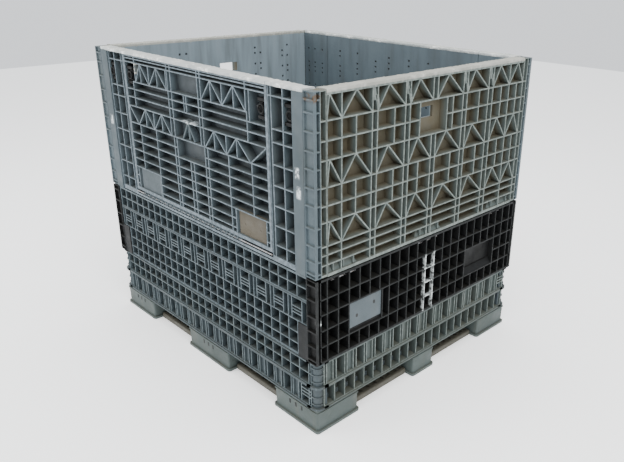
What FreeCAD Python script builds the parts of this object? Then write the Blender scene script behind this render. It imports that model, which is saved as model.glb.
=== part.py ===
import FreeCAD, Part
import os
import Sketcher

Vector = FreeCAD.Vector

# Collapsible bulk container: four ribbed walls that fold down onto a ribbed base with nine feet.
# +X is the right end, -Y the front with its drop door, +Z up; the origin is the bottom centre.
# Every size in millimetres stands once in the sheet below.
SIZES = [
    ("bin_length", 1448, "overall, along X"),
    ("bin_width", 1219, "overall, along Y"),
    ("bin_height", 1270, "overall, along Z"),
    ("foot_height", 100, "fork opening under the base"),
    ("base_height", 200, "base band, from foot to lower panel"),
    ("tier_height", 332, "fixed lower panels"),
    ("tier_middle_low", 142, "tall middle cells over the side panel's foot"),
    ("tier_middle_tall", 95, "tall middle cells of a side panel"),
    ("fold_gap", 5, "between lower panel and folding wall"),
    ("rim_height", 12, "wear cap on each wall"),
    ("side_thick", 48, "front and rear panels and walls"),
    ("side_inset", 6, "panel faces behind posts and flanges"),
    ("end_thick", 50, "end panels and walls"),
    ("wall_play", 1, "between an end wall and a side wall"),
    ("corner_play", 2, "between a side wall and an end wall"),
    ("skin", 6, "inner sheet of every ribbed panel"),
    ("rib", 4, "rib thickness"),
    ("edge", 8, "outer rib round a panel"),
    ("column_width", 181, "side wall beside the door"),
    ("post_width", 52, "smooth post at the wall's end"),
    ("door_play", 3, "between door and wall"),
    ("floor_thick", 12, "deck skin"),
    ("deck_depth", 30, "deck with its ribs"),
    ("base_wall", 60, "base band thickness"),
    ("base_round", 38, "base corner radius"),
    ("band_height", 90, "lower band of the base"),
    ("foot_length", 262, "corner foot along X"),
    ("foot_width", 222, "corner foot along Y"),
    ("mid_foot_length", 316, "middle foot along X"),
    ("mid_foot_width", 142, "middle foot along Y"),
    ("foot_wall", 9, "foot shell"),
    ("foot_lip", 8, "sole plate beyond the foot"),
    ("sole_thick", 18, "sole plate"),
    ("runner_thick", 26, "board between feet"),
    ("runner_width", 90, "board between feet"),
    ("runner_inset", 40, "board behind the base face"),
    ("pin_dia", 10, "wall hinge pin"),
    ("pin_play", 0.4, "bore over pin"),
    ("knuckle", 17, "square knuckle of a side hinge"),
    ("knuckle_long", 60, "fixed knuckle or lug length"),
    ("knuckle_room", 13, "notch round a hinge axis"),
    ("hinge_in", 10, "side hinge axis behind the inner face"),
    ("front_axis", 10, "front hinge axis over the wall's foot"),
    ("rear_axis", 66, "rear hinge axis over the wall's foot"),
    ("hinge_x", 582, "side hinges from the middle"),
    ("lug_thick", 20, "end wall hinge lug"),
    ("lug_room", 15.5, "notch round an end hinge axis"),
    ("lug_reach", 460, "outer end hinges from the middle"),
    ("end_axis_in", 26, "end hinge axis behind the inner face"),
    ("end_axis_drop", 25, "end hinge axis below the panel top"),
    ("end_rail", 44, "solid top rail of an end panel"),
    ("end_bevel", 14, "inner top edge of an end panel"),
    ("rod_dia", 6, "door hinge rod"),
    ("door_knuckle", 12, "square knuckle of the door hinge"),
    ("door_knuckle_long", 42, "one door knuckle"),
    ("door_knuckle_pitch", 96, "from one door knuckle to the next"),
    ("door_axis_up", 19, "door hinge axis over the wall's foot"),
    ("door_room", 9.5, "clear of the door hinge axis"),
    ("latch_low", 483, "latch pocket over the wall's foot"),
    ("latch_tall", 105, "latch pocket height"),
    ("latch_wide", 70, "door latch pocket width"),
    ("wall_latch_wide", 52, "wall latch pocket width"),
    ("bolt_tall", 20, "latch bolt"),
    ("bolt_thick", 15, "latch bolt"),
    ("bolt_deep", 14, "latch bolt in front of the inner face"),
    ("bolt_play", 2, "round a latch bolt"),
    ("bolt_throw", 20, "bolt past its edge"),
    ("knob_wide", 18, "latch finger plate"),
    ("knob_tall", 44, "latch finger plate"),
    ("spring_dia", 9, "latch spring"),
    ("spring_bore", 6, "latch spring"),
    ("spring_long", 20, "latch spring, swallowed by its bolt as that is drawn"),
    ("plate_wide", 160, "door cover plate"),
    ("plate_tall", 100, "door cover plate"),
    ("plate_thick", 5, "door cover plate"),
    ("plate_mid", 366, "cover plate from the middle"),
    ("plate_recess", 12, "cover plate pocket"),
    ("card_wide", 166, "end placard"),
    ("card_tall", 102, "end placard"),
    ("card_thick", 4, "end placard"),
    ("card_mid", 363, "placard from the middle"),
    ("card_low", 88, "placard over the panel's foot"),
    ("slot_wide", 95, "hand slot in an end wall"),
    ("slot_tall", 40, "hand slot in an end wall"),
    ("slot_low", 468, "hand slot over the wall's foot"),
    ("slot_mid", 52, "hand slot from the middle"),
    ("slot_frame", 158, "plate round the hand slot"),
    ("slot_frame_tall", 126, "plate round the hand slot"),
    ("slot_plate", 8, "plate round the hand slot"),
    ("tab_tall", 140, "corner tab on an end panel"),
    ("tab_reach", 52, "corner tab over the side panel"),
]

# Worked out from the sizes above.
DERIVED = [
    ("half_length", "=bin_length / 2"),
    ("half_width", "=bin_width / 2"),
    ("tier_low", "=foot_height + base_height"),
    ("tier_top", "=tier_low + tier_height"),
    ("wall_low", "=tier_top + fold_gap"),
    ("wall_tall", "=bin_height - rim_height - wall_low"),
    ("side_out", "=half_width - side_inset"),
    ("side_in", "=side_out - side_thick"),
    ("end_in", "=half_length - end_thick"),
    ("side_half", "=end_in - corner_play"),
    ("end_half", "=side_in - wall_play"),
    ("open_half", "=side_half - column_width"),
    ("door_half", "=open_half - door_play"),
    ("door_low", "=door_axis_up + door_room"),
    ("sill_tall", "=door_axis_up - door_room"),
    ("cell_depth", "=side_thick - skin"),
    ("end_depth", "=end_thick - skin"),
    ("latch_mid", "=latch_low + latch_tall / 2"),
    ("pin_long", "=2 * knuckle_long"),
]

doc = FreeCAD.newDocument("BulkContainer")
sheet = doc.addObject("Spreadsheet::Sheet", "Sizes")
for row, (alias, value, note) in enumerate(SIZES, start=1):
    sheet.set(f"A{row}", str(value))
    sheet.set(f"B{row}", note)
    sheet.setAlias(f"A{row}", alias)
for row, (alias, formula) in enumerate(DERIVED, start=len(SIZES) + 1):
    sheet.set(f"A{row}", formula)
    sheet.setAlias(f"A{row}", alias)
doc.recompute()

ALIASES = sorted([entry[0] for entry in SIZES + DERIVED], key=len, reverse=True)
nodes = []


def bound(formula):
    """A formula in aliases, with each alias named in full for setExpression."""
    words = []
    word = ""
    for letter in str(formula) + " ":
        if letter.isalnum() or letter in "_.":
            word += letter
        else:
            words.append(f"Sizes.{word}" if word in ALIASES else word)
            words.append(letter)
            word = ""
    return "".join(words).strip()


# --- sketches and features of a body ---

def new_body(label):
    body = doc.addObject("PartDesign::Body", label)
    body.Label = label
    nodes.append(body)
    return body


def new_sketch(body, plane, offset):
    """A sketch on one of the body's own planes, moved along the plane's normal."""
    sketch = body.newObject("Sketcher::SketchObject", body.Name + "_sketch")
    support = [f for f in body.Origin.OriginFeatures if f.Role == plane][0]
    sketch.AttachmentSupport = [(support, "")]
    sketch.MapMode = "FlatFace"
    sketch.setExpression("AttachmentOffset.Base.z", bound(offset))
    return sketch


def dimension(sketch, kind, first, second, formula):
    rule = Sketcher.Constraint(kind, first[0], first[1], second[0], second[1], 1.0)
    index = sketch.addConstraint(rule)
    sketch.setExpression(f"Constraints[{index}]", bound(formula))


def add_rectangle(sketch, x, y, wide, tall):
    """A rectangle by its low corner and its sides, each bound to the sheet."""
    first = sketch.GeometryCount
    corners = [Vector(0, 0, 0), Vector(9, 0, 0), Vector(9, 9, 0), Vector(0, 9, 0)]
    for k in range(4):
        sketch.addGeometry(Part.LineSegment(corners[k], corners[(k + 1) % 4]), False)
    rules = [Sketcher.Constraint("Coincident", first + k, 2, first + (k + 1) % 4, 1) for k in range(4)]
    rules += [Sketcher.Constraint("Horizontal", first + k) for k in (0, 2)]
    rules += [Sketcher.Constraint("Vertical", first + k) for k in (1, 3)]
    sketch.addConstraint(rules)
    dimension(sketch, "DistanceX", (-1, 1), (first, 1), x)
    dimension(sketch, "DistanceY", (-1, 1), (first, 1), y)
    dimension(sketch, "DistanceX", (first, 1), (first, 2), wide)
    dimension(sketch, "DistanceY", (first + 1, 1), (first + 1, 2), tall)


def add_circle(sketch, x, y, diameter):
    index = sketch.addGeometry(Part.Circle(Vector(1, 1, 0), Vector(0, 0, 1), 2), False)
    dimension(sketch, "DistanceX", (-1, 1), (index, 3), x)
    dimension(sketch, "DistanceY", (-1, 1), (index, 3), y)
    rule = sketch.addConstraint(Sketcher.Constraint("Diameter", index, 2.0))
    sketch.setExpression(f"Constraints[{rule}]", bound(diameter))


def add_triangle(sketch, x, y, leg):
    """A right triangle: its right angle is at x + leg, y and its legs run along -x and +y."""
    first = sketch.GeometryCount
    corners = [Vector(0, 0, 0), Vector(9, 0, 0), Vector(9, 9, 0)]
    for k in range(3):
        sketch.addGeometry(Part.LineSegment(corners[k], corners[(k + 1) % 3]), False)
    rules = [Sketcher.Constraint("Coincident", first + k, 2, first + (k + 1) % 3, 1) for k in range(3)]
    rules += [Sketcher.Constraint("Horizontal", first), Sketcher.Constraint("Vertical", first + 1)]
    sketch.addConstraint(rules)
    dimension(sketch, "DistanceX", (-1, 1), (first, 1), x)
    dimension(sketch, "DistanceY", (-1, 1), (first, 1), y)
    dimension(sketch, "DistanceX", (first, 1), (first, 2), leg)
    dimension(sketch, "DistanceY", (first + 1, 1), (first + 1, 2), leg)


def add_pad(body, sketch, depth, reverse=False):
    pad = body.newObject("PartDesign::Pad", body.Name + "_pad")
    pad.Profile = sketch
    pad.Reversed = reverse
    pad.setExpression("Length", bound(depth))
    return pad


def add_pocket(body, sketch, depth, reverse=False, both_ways=False):
    """A pocket, which has to take material away."""
    before = body.Tip
    doc.recompute()
    volume = before.Shape.Volume
    pocket = body.newObject("PartDesign::Pocket", body.Name + "_pocket")
    pocket.Profile = sketch
    pocket.Refine = False
    pocket.Reversed = reverse
    pocket.Midplane = both_ways
    pocket.setExpression("Length", bound(depth))
    doc.recompute()
    if pocket.Shape.Volume >= volume - 1:
        raise RuntimeError(f"{body.Label}: a pocket cut nothing")
    return pocket


def cut_cells(body, face, area, columns, rows, depth):
    """A grid of rib cells over an area (x, y, wide, tall) of one face (plane, offset, reverse)."""
    plane, offset, reverse = face
    x, y, wide, tall = area
    sketch = new_sketch(body, plane, offset)
    cell_wide = f"(({wide}) - {columns - 1} * rib) / {columns}"
    cell_tall = f"(({tall}) - {rows - 1} * rib) / {rows}"
    add_rectangle(sketch, x, y, cell_wide, cell_tall)
    pocket = add_pocket(body, sketch, depth, reverse)
    if columns == 1 and rows == 1:
        return
    grid = body.newObject("PartDesign::LinearPattern", body.Name + "_grid")
    grid.Originals = [pocket]
    grid.Refine = False
    across = (sketch, ["H_Axis"], f"({wide} + rib) * {columns - 1} / {columns}", columns)
    upward = (sketch, ["V_Axis"], f"({tall} + rib) * {rows - 1} / {rows}", rows)
    first, second = (across, upward) if columns > 1 else (upward, across)
    grid.Direction = (first[0], first[1])
    grid.setExpression("Length", bound(first[2]))
    grid.Occurrences = first[3]
    if second[3] > 1:
        grid.Direction2 = (second[0], second[1])
        grid.setExpression("Length2", bound(second[2]))
        grid.Occurrences2 = second[3]
    body.Tip = grid


def cut_bore(body, y, z, length):
    """A hinge bore along the panel, at a height and depth in the panel's own frame."""
    sketch = new_sketch(body, "YZ_Plane", "0")
    add_circle(sketch, y, z, "pin_dia + pin_play")
    add_pocket(body, sketch, length, both_ways=True)


# --- how a panel stands: its own x runs along the wall, y up and z outwards ---

TURNS = {
    "front": FreeCAD.Rotation(Vector(1, 0, 0), Vector(0, 0, 1), Vector(0, -1, 0), "XYZ"),
    "rear": FreeCAD.Rotation(Vector(-1, 0, 0), Vector(0, 0, 1), Vector(0, 1, 0), "XYZ"),
    "right": FreeCAD.Rotation(Vector(0, 1, 0), Vector(0, 0, 1), Vector(1, 0, 0), "XYZ"),
    "left": FreeCAD.Rotation(Vector(0, -1, 0), Vector(0, 0, 1), Vector(-1, 0, 0), "XYZ"),
}
REACH = {"front": ("y", "-"), "rear": ("y", ""), "right": ("x", ""), "left": ("x", "-")}


def stand(piece, facing, reach, low):
    """Puts a piece modelled in panel axes on its side, its z = 0 plane at the given reach."""
    piece.Placement = FreeCAD.Placement(Vector(0, 0, 0), TURNS[facing])
    axis, sign = REACH[facing]
    piece.setExpression(f"Placement.Base.{axis}", bound(f"{sign}({reach})"))
    piece.setExpression("Placement.Base.z", bound(low))


def add_slab(label, area, thick, low="0"):
    body = new_body(label)
    sketch = new_sketch(body, "XY_Plane", low)
    add_rectangle(sketch, *area)
    add_pad(body, sketch, thick)
    return body


def cut_from_outside(body, area, depth, thick):
    sketch = new_sketch(body, "XY_Plane", thick)
    add_rectangle(sketch, *area)
    add_pocket(body, sketch, depth)


def cut_from_inside(body, areas, depth):
    sketch = new_sketch(body, "XY_Plane", "0")
    for area in areas:
        add_rectangle(sketch, *area)
    add_pocket(body, sketch, depth, reverse=True)


# --- base, feet and runners ---

def make_base():
    body = add_slab("base", ("-half_length", "-half_width", "bin_length", "bin_width"), "base_height")
    doc.recompute()
    block = body.Tip
    upright = [
        f"Edge{n}" for n, edge in enumerate(block.Shape.Edges, start=1)
        if abs(edge.Vertexes[0].Z - edge.Vertexes[1].Z) > 1
    ]
    corners = body.newObject("PartDesign::Fillet", "base_corners")
    corners.Base = (block, upright)
    corners.setExpression("Radius", bound("base_round"))
    doc.recompute()
    top = ("XY_Plane", "base_height", False)
    inner = ("-half_length + base_wall", "-half_width + base_wall",
             "bin_length - 2 * base_wall", "bin_width - 2 * base_wall")
    cut_cells(body, top, inner, 1, 1, "base_height - deck_depth")
    cut_cells(body, ("XY_Plane", "0", True), inner, 8, 7, "deck_depth - floor_thick")
    long_area = "-half_length + base_round + 2 * edge"
    long_run = "bin_length - 2 * base_round - 4 * edge"
    wide_area = "-half_width + base_round + 2 * edge"
    wide_run = "bin_width - 2 * base_round - 4 * edge"
    depth = "base_wall - skin - edge"
    for plane, side, reverse in (("XZ_Plane", "half_width", False), ("XZ_Plane", "-half_width", True)):
        face = (plane, side, reverse)
        cut_cells(body, face, (long_area, "edge", long_run, "band_height - edge"), 13, 1, depth)
        upper = (long_area, "band_height + edge", long_run, "base_height - band_height - 2 * edge")
        cut_cells(body, face, upper, 24, 2, depth)
    for side, reverse in (("half_length", False), ("-half_length", True)):
        face = ("YZ_Plane", side, reverse)
        cut_cells(body, face, (wide_area, "edge", wide_run, "band_height"), 22, 1, depth)
        upper = (wide_area, "band_height + 2 * edge", wide_run, "base_height - band_height - 3 * edge")
        cut_cells(body, face, upper, 11, 1, depth)
    body.setExpression("Placement.Base.z", bound("foot_height"))


def make_foot(label, x_mid, y_mid, long, wide):
    """A hollow foot on a sole plate."""
    body = new_body(label)
    sole = new_sketch(body, "XY_Plane", "0")
    add_rectangle(sole, f"-{long} / 2", f"-{wide} / 2", long, wide)
    add_pad(body, sole, "sole_thick")
    shank = new_sketch(body, "XY_Plane", "sole_thick")
    long_in = f"{long} - 2 * foot_lip"
    wide_in = f"{wide} - 2 * foot_lip"
    add_rectangle(shank, f"-({long_in}) / 2", f"-({wide_in}) / 2", long_in, wide_in)
    add_pad(body, shank, "foot_height - sole_thick")
    room = new_sketch(body, "XY_Plane", "foot_height")
    long_room = f"{long_in} - 2 * foot_wall"
    wide_room = f"{wide_in} - 2 * foot_wall"
    add_rectangle(room, f"-({long_room}) / 2", f"-({wide_room}) / 2", long_room, wide_room)
    add_pocket(body, room, "foot_height - sole_thick")
    body.setExpression("Placement.Base.x", bound(x_mid))
    body.setExpression("Placement.Base.y", bound(y_mid))


def make_feet():
    across = {"left": ("-half_length + foot_length / 2", "foot_length"),
              "middle": ("0", "mid_foot_length"),
              "right": ("half_length - foot_length / 2", "foot_length")}
    along = {"front": ("-half_width + foot_width / 2", "foot_width"),
             "middle": ("0", "mid_foot_width"),
             "rear": ("half_width - foot_width / 2", "foot_width")}
    for row, (y_mid, wide) in along.items():
        for column, (x_mid, long) in across.items():
            make_foot(f"foot_{row}_{column}", x_mid, y_mid, long, wide)


def make_runner(label, x, y, long, wide):
    box = doc.addObject("Part::Box", label)
    box.Label = label
    box.setExpression("Length", bound(long))
    box.setExpression("Width", bound(wide))
    box.setExpression("Height", bound("runner_thick"))
    box.setExpression("Placement.Base.x", bound(x))
    box.setExpression("Placement.Base.y", bound(y))
    nodes.append(box)


def make_runners():
    """Boards on the ground between neighbouring feet, behind the base's four faces."""
    long_span = "half_length - foot_length - mid_foot_length / 2"
    wide_span = "half_width - foot_width - mid_foot_width / 2"
    x_starts = {"left": "-half_length + foot_length", "right": "mid_foot_length / 2"}
    y_starts = {"front": "-half_width + foot_width", "rear": "mid_foot_width / 2"}
    y_place = {"front": "-half_width + runner_inset", "rear": "half_width - runner_inset - runner_width"}
    x_place = {"left": "-half_length + runner_inset", "right": "half_length - runner_inset - runner_width"}
    for face, y in y_place.items():
        for half, x in x_starts.items():
            make_runner(f"runner_{face}_{half}", x, y, long_span, "runner_width")
    for face, x in x_place.items():
        for half, y in y_starts.items():
            make_runner(f"runner_{face}_{half}", x, y, "runner_width", wide_span)


# --- fixed lower panels ---

def make_lower_side(facing, axis_up):
    """A gray ribbed side panel with two fixed knuckles on its top edge."""
    area = ("-side_half", "0", "2 * side_half", "tier_height")
    body = add_slab(f"{facing}_lower_panel", area, "side_thick")
    outside = ("XY_Plane", "side_thick", False)
    start, long = "-side_half + edge", "2 * (side_half - edge)"
    middle_top = "tier_middle_low + tier_middle_tall"
    rows = [("edge", "tier_middle_low - edge", 26, 3),
            ("tier_middle_low + rib", "tier_middle_tall - rib", 13, 1),
            (f"{middle_top} + edge", f"tier_height - ({middle_top}) - 2 * edge", 26, 2)]
    for low, tall, columns, levels in rows:
        cut_cells(body, outside, (start, low, long, tall), columns, levels, "cell_depth")
    knuckles = new_sketch(body, "XY_Plane", "hinge_in - knuckle / 2")
    rise = f"fold_gap + {axis_up} + knuckle / 2"
    for middle in ("hinge_x", "-hinge_x"):
        add_rectangle(knuckles, f"{middle} - knuckle_long / 2", "tier_height", "knuckle_long", rise)
    add_pad(body, knuckles, "knuckle")
    cut_bore(body, f"tier_height + fold_gap + {axis_up}", "hinge_in", "2 * side_half")
    stand(body, facing, "side_in", "tier_low")


def lug_areas(low, tall, play):
    """Three areas along an end wall for its hinge lugs or for their notches."""
    wide = f"knuckle_long + 2 * {play}"
    return [(f"{middle} - ({wide}) / 2", low, wide, tall) for middle in ("-lug_reach", "0", "lug_reach")]


def make_lower_end(facing):
    """A black end panel: top rail with three hinge notches, and a tab round each corner."""
    body = add_slab(f"{facing}_lower_panel", ("-half_width", "0", "bin_width", "tier_height"), "end_thick")
    outside = ("XY_Plane", "end_thick", False)
    area = ("-half_width + edge", "edge", "bin_width - 2 * edge", "tier_height - end_rail - edge")
    cut_cells(body, outside, area, 23, 5, "end_depth")
    tabs = new_sketch(body, "XY_Plane", "0")
    for x in ("-half_width", "half_width - side_inset"):
        add_rectangle(tabs, x, "0", "side_inset", "tab_tall")
    add_pad(body, tabs, "tab_reach", reverse=True)
    slope = new_sketch(body, "YZ_Plane", "0")
    add_triangle(slope, "tier_height - end_bevel", "0", "end_bevel")
    add_pocket(body, slope, "bin_width", both_ways=True)
    notches = lug_areas("tier_height - end_axis_drop - lug_room", "end_axis_drop + lug_room", "wall_play")
    cut_from_inside(body, notches, "end_axis_in + lug_room")
    cut_bore(body, "tier_height - end_axis_drop", "end_axis_in", "bin_width")
    mirror = "-" if facing == "right" else ""
    card = (f"{mirror}card_mid - card_wide / 2", "card_low", "card_wide", "card_tall")
    seat = new_sketch(body, "XY_Plane", "end_thick")
    add_rectangle(seat, *card)
    add_pocket(body, seat, "2 * card_thick")
    stand(body, facing, "end_in", "tier_low")
    plate = add_slab(f"{facing}_placard", card, "card_thick", "end_thick - 2 * card_thick")
    stand(plate, facing, "end_in", "tier_low")


# --- folding end walls ---

def make_end_wall(facing):
    body = add_slab(f"{facing}_wall", ("-end_half", "0", "2 * end_half", "wall_tall"), "end_thick")
    outside = ("XY_Plane", "end_thick", False)
    area = ("-end_half + edge", "edge", "2 * (end_half - edge)", "wall_tall - 2 * edge")
    cut_cells(body, outside, area, 12, 9, "end_depth")
    mirror = "-" if facing == "right" else ""
    frame = new_sketch(body, "XY_Plane", "end_thick - 2 * slot_plate")
    frame_low = "slot_low + slot_tall / 2 - slot_frame_tall / 2"
    add_rectangle(frame, f"{mirror}slot_mid - slot_frame / 2", frame_low, "slot_frame", "slot_frame_tall")
    add_pad(body, frame, "slot_plate")
    slot = (f"{mirror}slot_mid - slot_wide / 2", "slot_low", "slot_wide", "slot_tall")
    cut_from_outside(body, slot, "end_thick", "end_thick")
    lugs = new_sketch(body, "XY_Plane", "end_axis_in - lug_thick / 2")
    lug_tall = "fold_gap + end_axis_drop + lug_thick / 2"
    for area in lug_areas(f"-({lug_tall})", lug_tall, "0"):
        add_rectangle(lugs, *area)
    add_pad(body, lugs, "lug_thick")
    cut_bore(body, "-(fold_gap + end_axis_drop)", "end_axis_in", "2 * end_half")
    stand(body, facing, "end_in", "wall_low")
    area = ("-end_half", "wall_tall", "2 * end_half", "rim_height")
    rim = add_slab(f"{facing}_wall_rim", area, "end_thick")
    stand(rim, facing, "end_in", "wall_low")


# --- folding side walls, each with its drop door ---

def add_door_knuckles(body, web_low, web_tall, count):
    """A centred row of square knuckles on the outer face, each with a web to the sill or door."""
    start = f"-{(count - 1) / 2} * door_knuckle_pitch - door_knuckle_long / 2"
    for y, tall, low, thick in (
        ("door_axis_up - door_knuckle / 2", "door_knuckle", "side_thick", "door_knuckle / 2"),
        (web_low, web_tall, "side_thick - door_knuckle / 2", "door_knuckle / 2"),
    ):
        sketch = new_sketch(body, "XY_Plane", low)
        add_rectangle(sketch, start, y, "door_knuckle_long", tall)
        pad = add_pad(body, sketch, thick)
        doc.recompute()
        row = body.newObject("PartDesign::LinearPattern", body.Name + "_knuckles")
        row.Originals = [pad]
        row.Direction = (sketch, ["H_Axis"])
        row.setExpression("Length", bound(f"{count - 1} * door_knuckle_pitch"))
        row.Occurrences = count
        body.Tip = row
        doc.recompute()
    rod_hole = new_sketch(body, "YZ_Plane", "0")
    add_circle(rod_hole, "door_axis_up", "side_thick", "rod_dia + pin_play")
    add_pocket(body, rod_hole, "2 * door_half", both_ways=True)


def make_side_wall(facing, axis_up):
    """The wall: two ribbed columns with smooth posts, joined by a low sill."""
    body = add_slab(f"{facing}_wall", ("-side_half", "0", "2 * side_half", "wall_tall"), "side_thick")
    door_gap = ("-open_half", "sill_tall", "2 * open_half", "wall_tall - sill_tall")
    cut_from_outside(body, door_gap, "side_thick", "side_thick")
    posts = new_sketch(body, "XY_Plane", "side_thick")
    for x in ("-side_half", "side_half - post_width"):
        add_rectangle(posts, x, "0", "post_width", "wall_tall")
    add_pad(body, posts, "side_inset")
    rail = f"{axis_up} + knuckle_room + rib"
    outside = ("XY_Plane", "side_thick", False)
    wide = "column_width - post_width - 2 * edge"
    for x in ("open_half + edge", "-open_half - edge - (column_width - post_width - 2 * edge)"):
        cut_cells(body, outside, (x, rail, wide, f"wall_tall - ({rail}) - edge"), 2, 8, "cell_depth")
    notches = [
        (f"{middle} - knuckle_long / 2 - wall_play", "0", "knuckle_long + 2 * wall_play",
         f"{axis_up} + knuckle_room")
        for middle in ("hinge_x", "-hinge_x")
    ]
    cut_from_inside(body, notches, "hinge_in + knuckle_room")
    for side, reverse in (("open_half + edge", True), ("-open_half - edge", False)):
        hole = new_sketch(body, "YZ_Plane", side)
        add_circle(hole, axis_up, "hinge_in", "pin_dia + pin_play")
        add_pocket(body, hole, "column_width", reverse)
    pockets = {"right": "side_half - post_width - edge - wall_latch_wide",
               "left": "-side_half + post_width + edge"}
    for x in pockets.values():
        cut_from_outside(body, (x, "latch_low", "wall_latch_wide", "latch_tall"), "cell_depth", "side_thick")
    slot_tall = "bolt_tall + 2 * bolt_play"
    for x, reverse in (("side_half", False), ("-side_half", True)):
        hole = new_sketch(body, "YZ_Plane", x)
        add_rectangle(hole, f"latch_mid - ({slot_tall}) / 2", "bolt_deep - bolt_play",
                      slot_tall, "bolt_thick + 2 * bolt_play")
        add_pocket(body, hole, "post_width + edge + 1", reverse)
    for x in ("open_half", "-open_half - edge - bolt_throw"):
        area = (x, f"latch_mid - ({slot_tall}) / 2", "edge + bolt_throw", slot_tall)
        cut_from_outside(body, area, "side_thick - bolt_deep + bolt_play", "side_thick")
    add_door_knuckles(body, "sill_tall", "door_axis_up - sill_tall", 10)
    stand(body, facing, "side_in", "wall_low")
    for side, x in (("left", "-side_half"), ("right", "open_half")):
        rim = add_slab(f"{facing}_wall_rim_{side}", (x, "wall_tall", "column_width", "rim_height"),
                       "side_thick + side_inset")
        stand(rim, facing, "side_in", "wall_low")


def make_door(facing):
    area = ("-door_half", "door_low", "2 * door_half", "wall_tall - door_low")
    body = add_slab(f"{facing}_door", area, "side_thick")
    outside = ("XY_Plane", "side_thick", False)
    cells = ("-door_half + edge", "door_low + edge",
             "2 * (door_half - edge)", "wall_tall - door_low - 2 * edge")
    cut_cells(body, outside, cells, 7, 14, "cell_depth")
    for x in ("door_half - edge - latch_wide", "-door_half + edge"):
        cut_from_outside(body, (x, "latch_low", "latch_wide", "latch_tall"), "cell_depth", "side_thick")
    slot_tall = "bolt_tall + 2 * bolt_play"
    for x in ("door_half - edge", "-door_half"):
        slot = (x, f"latch_mid - ({slot_tall}) / 2", "edge", slot_tall)
        cut_from_outside(body, slot, "side_thick - bolt_deep + bolt_play", "side_thick")
    for middle in ("plate_mid", "-plate_mid"):
        seat = (f"{middle} - plate_wide / 2", "door_low + edge", "plate_wide", "plate_tall")
        cut_from_outside(body, seat, "plate_recess", "side_thick")
    add_door_knuckles(body, "door_axis_up", "door_low - door_axis_up", 9)
    stand(body, facing, "side_in", "wall_low")
    rim = add_slab(f"{facing}_door_rim", ("-door_half", "wall_tall", "2 * door_half", "rim_height"),
                   "side_thick + side_inset")
    stand(rim, facing, "side_in", "wall_low")
    for side, middle in (("left", "-plate_mid"), ("right", "plate_mid")):
        seat = (f"{middle} - plate_wide / 2", "door_low + edge", "plate_wide", "plate_tall")
        plate = add_slab(f"{facing}_door_plate_{side}", seat, "plate_thick", "side_thick - plate_recess")
        stand(plate, facing, "side_in", "wall_low")


def make_latch(label, facing, start, long, knob_start, tail, reverse):
    """A spring bolt with a finger plate in front and a bore for its spring in the tail."""
    body = add_slab(label, (start, "latch_mid - bolt_tall / 2", long, "bolt_tall"), "bolt_thick", "bolt_deep")
    knob = new_sketch(body, "XY_Plane", "bolt_deep + bolt_thick")
    add_rectangle(knob, knob_start, "latch_mid - knob_tall / 2", "knob_wide", "knob_tall")
    add_pad(body, knob, "side_thick - bolt_deep - bolt_thick - bolt_play")
    bore = new_sketch(body, "YZ_Plane", tail)
    add_circle(bore, "latch_mid", "bolt_deep + bolt_thick / 2", "spring_dia + 2 * pin_play")
    add_pocket(body, bore, "spring_long", reverse)
    stand(body, facing, "side_in", "wall_low")


def make_spring(x, reverse):
    """The tube that a coil spring fills, from the pocket's side to the bolt's tail."""
    tube = doc.addObject("Part::Cut", "spring")
    parts = []
    for diameter in ("spring_dia", "spring_bore"):
        rod = doc.addObject("Part::Cylinder", "spring_rod")
        rod.setExpression("Radius", bound(f"{diameter} / 2"))
        rod.setExpression("Height", bound("spring_long"))
        parts.append(rod)
    tube.Base, tube.Tool = parts
    turn = FreeCAD.Rotation(Vector(0, 1, 0), -90 if reverse else 90)
    tube.Placement = FreeCAD.Placement(Vector(0, 0, 0), turn)
    tube.setExpression("Placement.Base.x", bound(x))
    tube.setExpression("Placement.Base.y", bound("latch_mid"))
    tube.setExpression("Placement.Base.z", bound("bolt_deep + bolt_thick / 2"))
    return tube


def make_group(label, pieces):
    group = doc.addObject("Part::Compound", label)
    group.Label = label
    group.Links = pieces
    nodes.append(group)
    return group


def make_latches(facing):
    """Door bolts reach into the wall; wall bolts end flush with the end of the wall."""
    room = "spring_long + 2 * bolt_play"
    sets = {
        "door": ("door_half - edge - latch_wide", f"latch_wide + edge + bolt_throw - ({room})"),
        "wall": ("side_half - post_width - edge - wall_latch_wide",
                 f"wall_latch_wide + edge + post_width - ({room})"),
    }
    for kind, (pocket, long) in sets.items():
        tail = f"{pocket} + {room}"
        make_latch(f"{facing}_{kind}_latch_right", facing, tail, long, tail, tail, True)
        make_latch(f"{facing}_{kind}_latch_left", facing, f"-({tail}) - ({long})", long,
                   f"-({tail}) - knob_wide", f"-({tail})", False)
        springs = [make_spring(pocket, False), make_spring(f"-({pocket})", True)]
        group = make_group(f"{facing}_{kind}_latch_springs", springs)
        stand(group, facing, "side_in", "wall_low")


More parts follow.
